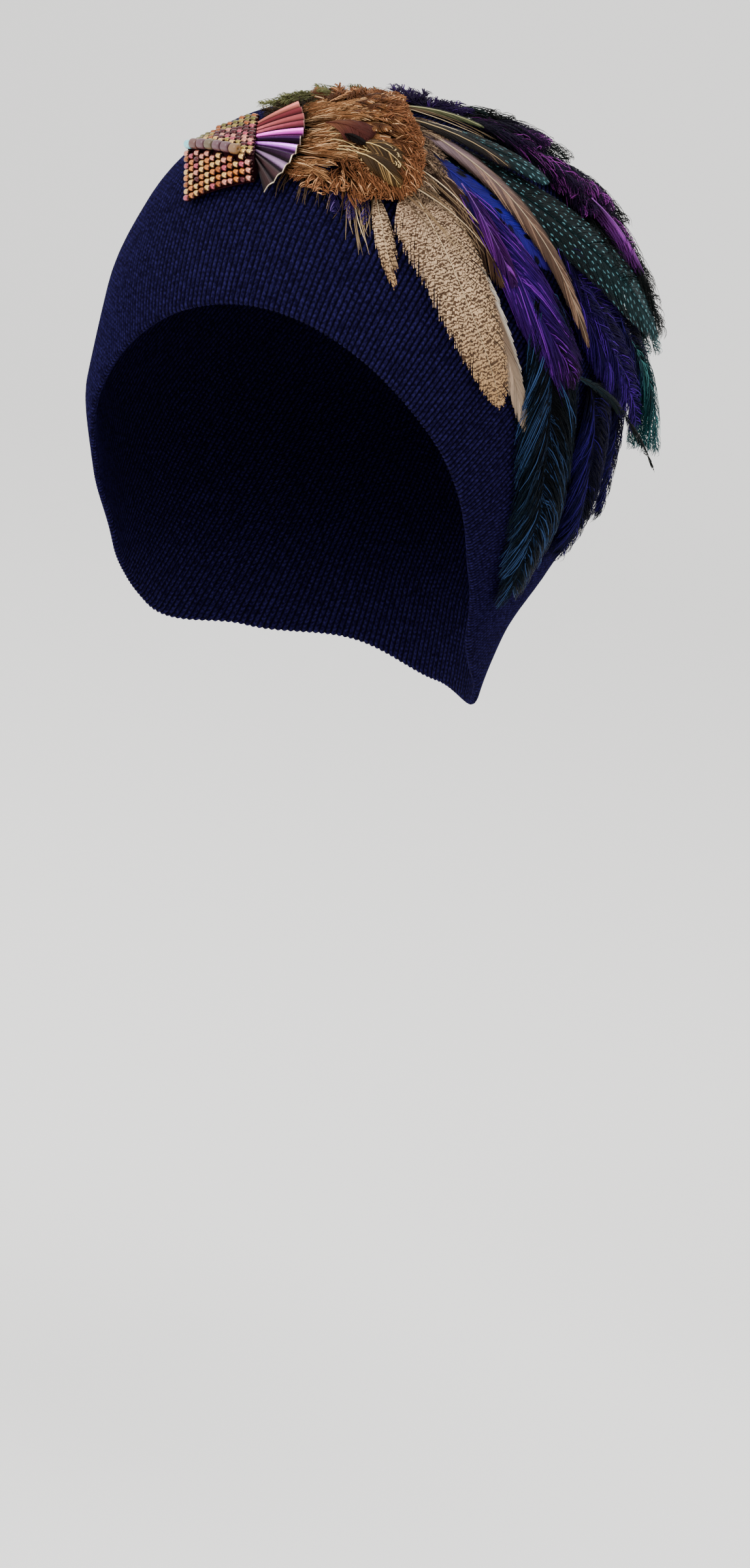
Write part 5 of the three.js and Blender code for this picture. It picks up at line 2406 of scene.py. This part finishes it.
    def grow_fringe(self, tresses: Tresses, rng: np.random.Generator) -> None:
        """Grow the violet down along the lower edge and the wisps that hang from under the pad.

        Args:
            tresses: Mesh that takes them.
            rng: Source of the small irregularities.
        """
        finish = PAD_FINISHES[PadSlot.VIOLET]
        for quill, width in VIOLET_POINTS:
            feather = Feather("pad", quill, width, self.fringe_belly, finish, growth=PAD_FRINGE)
            feather.grow(tresses, rng, PadSlot.VIOLET)
        for wisp in WISPS:
            wisp.hang(tresses, rng)


# Brooch

TURQUOISE = FrostedGlass("turquoise_glass", "#3aa8b8", "#9ce4ea", 0.12, 0.8)
TAUPE = FrostedGlass("taupe_matte_glass", "#4e2c26", "#63403a")
MAUVE = FrostedGlass("mauve_matte_glass", "#4a2a32", "#5e3c44")
OLIVE_GLASS = FrostedGlass("olive_matte_glass", "#4c3e28", "#60523a")
BRONZE = FrostedGlass("bronze_matte_glass", "#664422", "#7c5a34")
# Finishes of the matte beads along the fold, from its left end
RIDGE_GLASS = (TAUPE, MAUVE, OLIVE_GLASS, MAUVE, MAUVE, BRONZE)


@dataclass(frozen=True)
class Rail:
    """Edge of the brooch's panel, from its left end to its right end."""

    left: Place
    right: Place
    left_height: float
    right_height: float

    def point(self, share: Array, extra: float = 0.0) -> Array:
        """Points along the rail, a little over it.

        Args:
            share: Shares of the way from the left end.
            extra: Height over the rail.

        Returns:
            The points.
        """
        share = np.asarray(share, float)
        left, right = np.array(self.left), np.array(self.right)
        places = left + (right - left) * share[..., None]
        heights = self.left_height + (self.right_height - self.left_height) * share
        return CAP.on_spray(places, heights + extra)


@dataclass(frozen=True)
class Brooch:
    """Folded beadwork panel with seed beads on both faces and larger beads along its fold."""

    lower: Rail = Rail((-50, 29), (-28, 24), 2.6, 2.6)
    ridge: Rail = Rail((-55, 12), (-28.5, 20), 7.6, 7.6)
    upper: Rail = Rail((-57, 8), (-38, -1), 5.4, 5.4)
    bead_length: float = 2.45
    bead_across: float = 2.25
    fold_end: float = 0.86
    row_pitch: float = 2.4
    column_pitch: float = 2.65
    hole: float = 0.7
    bead_sides: int = 14
    # Rounding of a bead's shoulder, as a share of its radius
    shoulder: float = 0.42
    shoulder_points: int = 4
    # Shares of a bead's length and radius past which painted shade darkens it, and how fast
    rim_from: float = 0.5
    shade_under_from: float = 0.85
    shade_under_run: float = 0.6
    # How far the beads past the fold's end, the last row and the last column lie
    end_inset: float = 0.4
    row_overhang: float = 0.45
    last_share: float = 1.01
    look_step: float = 0.02
    bead_lift: float = 0.3
    bead_stray: float = 0.08
    size_spread: float = 0.08
    face_inset: float = 2.2
    # Length and diameter of the fold's beads
    tip_bead: tuple[float, float] = (2.7, 2.8)
    ridge_bead: tuple[float, float] = (3.35, 3.3)
    fold_sides: int = 24
    seed: int = 7
    glass: SeedGlass = SeedGlass(
        "metal_lined_seed_glass",
        palette=("#eab868", "#d07a2c", "#e09078", "#b84a5c", "#a0541c", "#4a0e18", "#6a642a", "#a88c38"),
    )

    def bead_mesh(self, name: str, length: float, across: float, sides: int) -> bpy.types.Mesh:
        """Make a drilled bead with round shoulders, its hole along X, marked for painted shade at its ends
        and underside.

        Args:
            name: Name of the mesh.
            length: Its length.
            across: Its diameter.
            sides: Sides of its round.

        Returns:
            The closed mesh, in metres.
        """
        half, radius, bore = length / 2, across / 2, self.hole / 2
        corner = self.shoulder * radius
        arc = np.linspace(0, np.pi / 2, self.shoulder_points)
        right = [
            (half - corner + corner * math.sin(a), radius - corner + corner * math.cos(a)) for a in arc
        ]
        outer = [(-x, r) for x, r in reversed(right)] + right
        profile = np.array([(-half, bore)] + outer + [(half, bore)])
        angle = np.arange(sides) * math.tau / sides
        rings = np.stack([
            np.stack([np.full(sides, x), r * np.cos(angle), r * np.sin(angle)], axis=-1) for x, r in profile
        ])
        count = len(profile)
        index = np.arange(count * sides).reshape(count, sides)
        ahead = np.roll(index, -1, axis=0)
        beside = np.roll(index, -1, axis=1)
        corner_index = np.roll(ahead, -1, axis=1)
        quads = np.stack([index, beside, corner_index, ahead], axis=-1).reshape(-1, 4)
        # Painted shade: the rim mark grows towards the bead's ends and on its side away from the face
        ends = (np.abs(profile[:, :1]) / half - self.rim_from) / (1 - self.rim_from)
        under = (self.shade_under_from - rings[..., 2] / radius) / self.shade_under_run
        ends, under = np.clip(ends, 0, 1), np.clip(under, 0, 1)
        marks = {"rim": np.maximum(ends, under).ravel()}
        holder = mesh_object(name, rings.reshape(-1, 3), [quads], [], marks)
        mesh = holder.data
        bpy.data.objects.remove(holder)
        return mesh

    def face_beads(
        self, far: Rail, face: "BeadFace", rng: np.random.Generator,
    ) -> tuple[Array, Array, Array, Array]:
        """Places of the beads on one face, in rows along the fold.

        Args:
            far: The face's edge away from the fold.
            face: Which face it is.
            rng: Source of the small irregularities.

        Returns:
            Points, directions along the rows, outward directions, and tints.
        """
        width = float(np.linalg.norm(self.ridge.point(1.0) - self.ridge.point(0.0)))
        shares, rows, picks = [], [], []
        for column in range(int(width / self.column_pitch) + 1):
            share = (column + 0.5) * self.column_pitch / width
            if share > self.last_share:
                continue
            depth = float(np.linalg.norm(far.point(share) - self.ridge.point(share)))
            row = 0
            inset = self.face_inset if share < self.fold_end else self.end_inset
            while True:
                reach = inset + (row + (column % 2) / 2) * self.row_pitch
                if reach > depth + self.row_overhang * self.row_pitch:
                    break
                shares.append(share)
                rows.append(reach / depth)
                picks.append(TINTS.pick(face, share, row, reach / depth, rng))
                row += 1
        share, down = np.array(shares), np.array(rows)[:, None]
        near, away = self.ridge.point(share), far.point(share)
        points = near + (away - near) * down
        step = self.look_step
        along = unit(self.ridge.point(share + step) - self.ridge.point(share - step))
        outward = np.cross(along, away - near)
        outward = unit(outward * np.sign((outward * (points - CAP.centre())).sum(-1, keepdims=True)))
        points = points + outward * (self.bead_lift * self.bead_across)
        points = points + rng.normal(0, self.bead_stray, points.shape)
        return points, along, outward, np.array(picks)

    def bead_tree(self, bead: bpy.types.Object) -> Tree:
        """Nodes that set a bead on every point.

        Args:
            bead: Object that holds one bead.

        Returns:
            The node tree.
        """
        tree = bpy.data.node_groups.new("seed_beads", "GeometryNodeTree")
        face = tree.interface
        face.new_socket("Geometry", in_out="INPUT", socket_type="NodeSocketGeometry")
        face.new_socket("Bead Size", in_out="INPUT", socket_type="NodeSocketFloat")
        face.new_socket("Size Spread", in_out="INPUT", socket_type="NodeSocketFloat")
        face.new_socket("Seed", in_out="INPUT", socket_type="NodeSocketInt")
        face.new_socket("Material", in_out="INPUT", socket_type="NodeSocketMaterial")
        face.new_socket("Geometry", in_out="OUTPUT", socket_type="NodeSocketGeometry")
        given = add_node(tree, "NodeGroupInput")
        along, out = (
            add_node(tree, "GeometryNodeInputNamedAttribute", {"Name": way}, data_type="FLOAT_VECTOR")
            for way in ("row_way", "face_way")
        )
        first = add_node(
            tree, "FunctionNodeAlignRotationToVector", {"Vector": along.outputs["Attribute"]}, axis="X",
        )
        turned = add_node(
            tree, "FunctionNodeAlignRotationToVector",
            {"Rotation": first, "Vector": out.outputs["Attribute"]},
            axis="Z", pivot_axis="X",
        )
        least = add_node(
            tree, "ShaderNodeMath",
            {0: given.outputs["Bead Size"], 1: given.outputs["Size Spread"]},
            operation="SUBTRACT",
        )
        size = add_node(
            tree, "FunctionNodeRandomValue",
            {2: least, 3: given.outputs["Bead Size"], "Seed": given.outputs["Seed"]},
            data_type="FLOAT",
        )
        shape = add_node(tree, "GeometryNodeObjectInfo", {"Object": bead})
        placed = add_node(
            tree, "GeometryNodeInstanceOnPoints",
            {
                "Points": given.outputs["Geometry"], "Instance": shape.outputs["Geometry"],
                "Rotation": turned, "Scale": size.outputs[1],
            },
        )
        real = add_node(tree, "GeometryNodeRealizeInstances", {"Geometry": placed})
        dressed = add_node(
            tree, "GeometryNodeSetMaterial", {"Geometry": real, "Material": given.outputs["Material"]},
        )
        add_node(tree, "NodeGroupOutput", {"Geometry": dressed})
        return tree

    def build_seeds(self) -> bpy.types.Object:
        """Make the seed beads of both faces.

        Returns:
            The finished piece.
        """
        rng = np.random.default_rng(self.seed)
        faces = [
            self.face_beads(self.lower, BeadFace.LOWER, rng),
            self.face_beads(self.upper, BeadFace.UPPER, rng),
        ]
        points, along, outward, tints = (np.concatenate(parts) for parts in zip(*faces))
        mesh = bpy.data.meshes.new("seed_bead_places")
        mesh.vertices.add(len(points))
        mesh.vertices.foreach_set("co", (points * MM).astype(np.float32).ravel())
        for key, values in (("row_way", along), ("face_way", outward)):
            attribute = mesh.attributes.new(key, "FLOAT_VECTOR", "POINT")
            attribute.data.foreach_set("vector", values.astype(np.float32).ravel())
        tint = mesh.attributes.new("tint", "FLOAT", "POINT")
        tint.data.foreach_set("value", tints.astype(np.float32))
        piece = bpy.data.objects.new("seed_beads", mesh)
        bpy.context.scene.collection.objects.link(piece)
        shape = self.bead_mesh("seed_bead", self.bead_length, self.bead_across, self.bead_sides)
        bead = bpy.data.objects.new("seed_bead_shape", shape)
        bpy.context.scene.collection.objects.link(bead)
        values = {
            "Bead Size": 1.0, "Size Spread": self.size_spread, "Seed": self.seed,
            "Material": self.glass.material(),
        }
        apply_tree(piece, self.bead_tree(bead), values)
        bpy.data.objects.remove(bead)
        return seat(piece, "beadwork")

    def build_fold_beads(self) -> None:
        """Make the turquoise bead and the matte beads along the fold, where their nodes are."""
        names = ["tip_bead"] + [f"ridge_bead_{i + 1}" for i in range(len(RIDGE_GLASS))]
        way = Vector(unit(self.ridge.point(1.0) - self.ridge.point(0.0)))
        turn = Vector((1, 0, 0)).rotation_difference(way).to_matrix().to_4x4()
        for name, finish in zip(names, (TURQUOISE, *RIDGE_GLASS)):
            low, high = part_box(name)
            at_tip = name == "tip_bead"
            length, across = self.tip_bead if at_tip else self.ridge_bead
            mesh = self.bead_mesh(name, length, across, self.fold_sides)
            mesh.transform(Matrix.Translation((low + high) / 2) @ turn)
            mesh.materials.append(finish.material())
            piece = bpy.data.objects.new(f"{name}_glass", mesh)
            bpy.context.scene.collection.objects.link(piece)
            seat(piece, "turquoise_bead" if at_tip else "taupe_bead", name)

    def build(self) -> None:
        """Make the beads and dress the panel that carries them."""
        self.build_seeds()
        self.build_fold_beads()
        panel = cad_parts["beaded_panel"]
        panel.data.materials.clear()
        panel.data.materials.append(Felt("burgundy_felt").material())


class BeadFace(Enum):
    """Faces of the folded panel."""

    LOWER = "lower"
    UPPER = "upper"


@dataclass(frozen=True)
class BeadTints:
    """Which colours of the beads' palette each part of the panel carries, repeated for their shares."""

    count: int = 8
    lower: tuple[float, ...] = (0.3, 0.24, 0.2, 0.1, 0.1, 0.06)
    fold: tuple[int, ...] = (0, 0, 7)
    rim: tuple[int, ...] = (6, 7, 4)
    heart: tuple[int, ...] = (5, 5, 5, 3, 2)
    fold_rows: int = 2
    rim_from: float = 0.8
    heart_from: float = 0.45

    def pick(
        self, face: BeadFace, share: float, row: int, down: float, rng: np.random.Generator,
    ) -> float:
        """Pick a bead's tint.

        Args:
            face: Face that the bead is on.
            share: Place along the fold, from the left.
            row: Row from the fold.
            down: Share of the way to the face's edge.
            rng: Source of the mix.

        Returns:
            Tint between zero and one, in the palette's order.
        """
        if face is BeadFace.LOWER:
            pick = rng.choice(len(self.lower), p=self.lower)
        elif row < self.fold_rows:
            pick = rng.choice(self.fold)
        elif down > self.rim_from or share < self.heart_from:
            pick = rng.choice(self.rim)
        else:
            pick = rng.choice(self.heart)
        return (pick + 0.5) / self.count


TINTS = BeadTints()


@dataclass(frozen=True)
class PleatedFan:
    """Pleated foil ribbon that fans out between the panel and the pad."""

    inner: tuple[Place, Place] = ((-36.3, 1.4), (-28.2, 19.6))
    outer: Quill = Quill((-30.5, -12.5), (-18.8, 9), (-21, 30))
    flutes: int = 11
    depth: float = 2.2
    inner_depth: float = 0.7
    height: float = 5.6
    thickness: float = 0.35
    rings: int = 8
    # Steps across each flute, from one valley to the next
    steps: int = 6
    crease_power: float = 1.4
    # Share of the way down the fan, and how much of its depth a flute keeps there
    pressed: tuple[tuple[float, float], ...] = ((0.0, 1.0), (0.55, 1.0), (0.72, 0.45), (1.0, 0.4))
    finish: Finish = PleatedFoil("pleated_metal_foil")

    def build(self) -> bpy.types.Object:
        """Make the fan as a thin closed sheet of sharp folds.

        Returns:
            The finished piece.
        """
        folds = self.flutes * self.steps
        count = np.arange(folds + 1)
        share = count / folds
        start, end = np.array(self.inner[0]), np.array(self.inner[1])
        near = start + (end - start) * share[:, None]
        far = self.outer.place(share)
        out = np.linspace(0, 1, self.rings)
        valley = np.abs((count / self.steps) % 1 * 2 - 1)
        places = near[:, None] + (far - near)[:, None] * out[None, :, None]
        swing = self.inner_depth + (self.depth - self.inner_depth) * out
        table = np.array(self.pressed)
        pressed = np.interp(share, table[:, 0], table[:, 1])
        rise = (0.5 - valley ** self.crease_power) * pressed
        heights = self.height + rise[:, None] * swing[None, :]
        top = CAP.on_spray(places, heights)
        under = CAP.on_spray(places, heights - self.thickness)
        rows, columns = heights.shape
        index = np.arange(rows * columns).reshape(rows, columns)
        low = index + rows * columns
        upper = np.stack([index[:-1, :-1], index[:-1, 1:], index[1:, 1:], index[1:, :-1]], axis=-1)
        lower = np.stack([low[:-1, :-1], low[1:, :-1], low[1:, 1:], low[:-1, 1:]], axis=-1)
        edges = []
        for a, b in (
            (index[0], low[0]), (index[:, -1], low[:, -1]), (index[-1, ::-1], low[-1, ::-1]),
            (index[::-1, 0], low[::-1, 0]),
        ):
            edges.append(np.stack([a[:-1], b[:-1], b[1:], a[1:]], axis=-1))
        quads = np.concatenate([upper.reshape(-1, 4), lower.reshape(-1, 4)] + edges)
        marks = {
            "flute": np.tile(np.broadcast_to(share[:, None], heights.shape).ravel(), 2),
            "out": np.tile(np.broadcast_to(out[None, :], heights.shape).ravel(), 2),
            "valley": np.tile(np.broadcast_to(valley[:, None], heights.shape).ravel(), 2),
        }
        points = np.concatenate([top.reshape(-1, 3), under.reshape(-1, 3)])
        piece = mesh_object(
            "pleated_fan_foil", points, [quads], [self.finish.material()], marks, smooth=False,
        )
        return seat(piece, "foil_ribbon", "pleated_fan")


# Studio

@dataclass(frozen=True)
class Panel:
    """Soft square panel light that faces the hat, in metres and watts."""

    name: str
    place: tuple[float, float, float]
    size: float
    watts: float

    def build(self) -> None:
        """Add the light."""
        panel = bpy.data.lights.new(self.name, "AREA")
        panel.shape = "SQUARE"
        panel.size = self.size
        panel.energy = self.watts
        lamp = bpy.data.objects.new(self.name, panel)
        lamp.location = self.place
        toward = Vector(CAP.centre()) * MM - Vector(self.place)
        lamp.rotation_euler = toward.to_track_quat("-Z", "Y").to_euler()
        bpy.context.scene.collection.objects.link(lamp)


@dataclass(frozen=True)
class Studio:
    """Pale floor, soft light and the camera."""

    image: tuple[int, int] = (1148, 2400)
    middle_pixel: tuple[float, float] = (545.0, 590.0)
    pixels_per_mm: float = 4.65
    distance: float = 1400.0
    azimuth: float = 19.0
    elevation: float = 6.0
    roll: float = 13.0
    sensor: float = 36.0
    floor_drop: float = 430.0
    floor_half: float = 6000.0
    floor_bend: float = 1500.0
    bend_points: int = 13
    wall_back: float = 3600.0
    view_end: float = 100.0
    sky: str = "#ffffff"
    sky_strength: float = 1.5
    panels: tuple[Panel, ...] = (
        Panel("key_panel", (-0.9, -1.3, 0.9), 1.0, 30.0),
        Panel("fill_panel", (1.4, -0.9, 0.3), 1.2, 6.0),
        Panel("top_panel", (0.1, 0.3, 1.5), 1.0, 12.0),
    )

    def sweep(self) -> bpy.types.Object:
        """Make the floor, which curves up into a wall well behind the hat.

        Returns:
            The floor's object.
        """
        half, drop, bend = self.floor_half, self.floor_drop, self.floor_bend
        turn = np.linspace(0, np.pi / 2, self.bend_points)
        back = np.concatenate([[-half], self.wall_back - bend + bend * np.sin(turn), [self.wall_back]])
        rise = np.concatenate([[0], bend - bend * np.cos(turn), [half]]) - drop
        left = np.stack([np.full(len(back), -half), back, rise], axis=-1)
        right = left * (-1, 1, 1)
        rows = np.arange(len(back) - 1)
        quads = np.stack([rows, rows + len(back), rows + len(back) + 1, rows + 1], axis=-1)
        paper = Paper("studio_paper").material()
        return mesh_object("floor", np.concatenate([left, right]), [quads], [paper])

    def camera(self) -> None:
        """Set the camera so that the cap's middle falls on its pixel."""
        az, el, roll = (math.radians(a) for a in (self.azimuth, self.elevation, self.roll))
        back = Vector((math.sin(az) * math.cos(el), -math.cos(az) * math.cos(el), math.sin(el)))
        right = Vector((math.cos(az), math.sin(az), 0))
        up = back.cross(right)
        turned_right = right * math.cos(roll) + up * math.sin(roll)
        turned_up = up * math.cos(roll) - right * math.sin(roll)
        focal = self.pixels_per_mm * self.distance
        aim = Vector((
            (self.middle_pixel[0] - self.image[0] / 2) / focal,
            (self.image[1] / 2 - self.middle_pixel[1]) / focal,
            -1,
        ))
        off = Vector((0, 0, -1)).rotation_difference(aim.normalized()).to_matrix()
        world_to_camera = off @ Matrix((turned_right, turned_up, back))
        lens = bpy.data.cameras.new("photo_camera")
        lens.sensor_fit = "VERTICAL"
        lens.sensor_height = self.sensor
        lens.lens = self.sensor * focal / self.image[1]
        lens.clip_end = self.view_end
        camera = bpy.data.objects.new("photo_camera", lens)
        bpy.context.scene.collection.objects.link(camera)
        place = (Vector(CAP.centre()) + back * self.distance) * MM
        camera.matrix_world = Matrix.Translation(place) @ world_to_camera.transposed().to_4x4()
        bpy.context.scene.camera = camera

    def build(self) -> None:
        """Make the floor, the lights and the camera."""
        floor = self.sweep()
        world = bpy.data.worlds.new("studio_world")
        world.use_nodes = True
        background = world.node_tree.nodes["Background"]
        background.inputs["Color"].default_value = linear(self.sky)
        background.inputs["Strength"].default_value = self.sky_strength
        bpy.context.scene.world = world
        for panel in self.panels:
            panel.build()
        self.camera()


def main() -> None:
    """Build every piece of the hat in order, then the studio, and note the sizes."""
    logging.basicConfig(level=logging.INFO, format="%(name)s: %(message)s")
    KnitCap().build()
    for seed, feather in enumerate(FEATHERS + PLUMES):
        feather.build(seed)
    for seed, bunch in enumerate(BUNCHES):
        bunch.build(BUNCH_SEED + seed)
    for seed, tuft in enumerate(TUFTS):
        tuft.build(TUFT_SEED + seed)
    FeatherPad().build()
    Brooch().build()
    PleatedFan().build()
    Studio().build()
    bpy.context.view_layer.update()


if __name__ == "__main__":
    main()
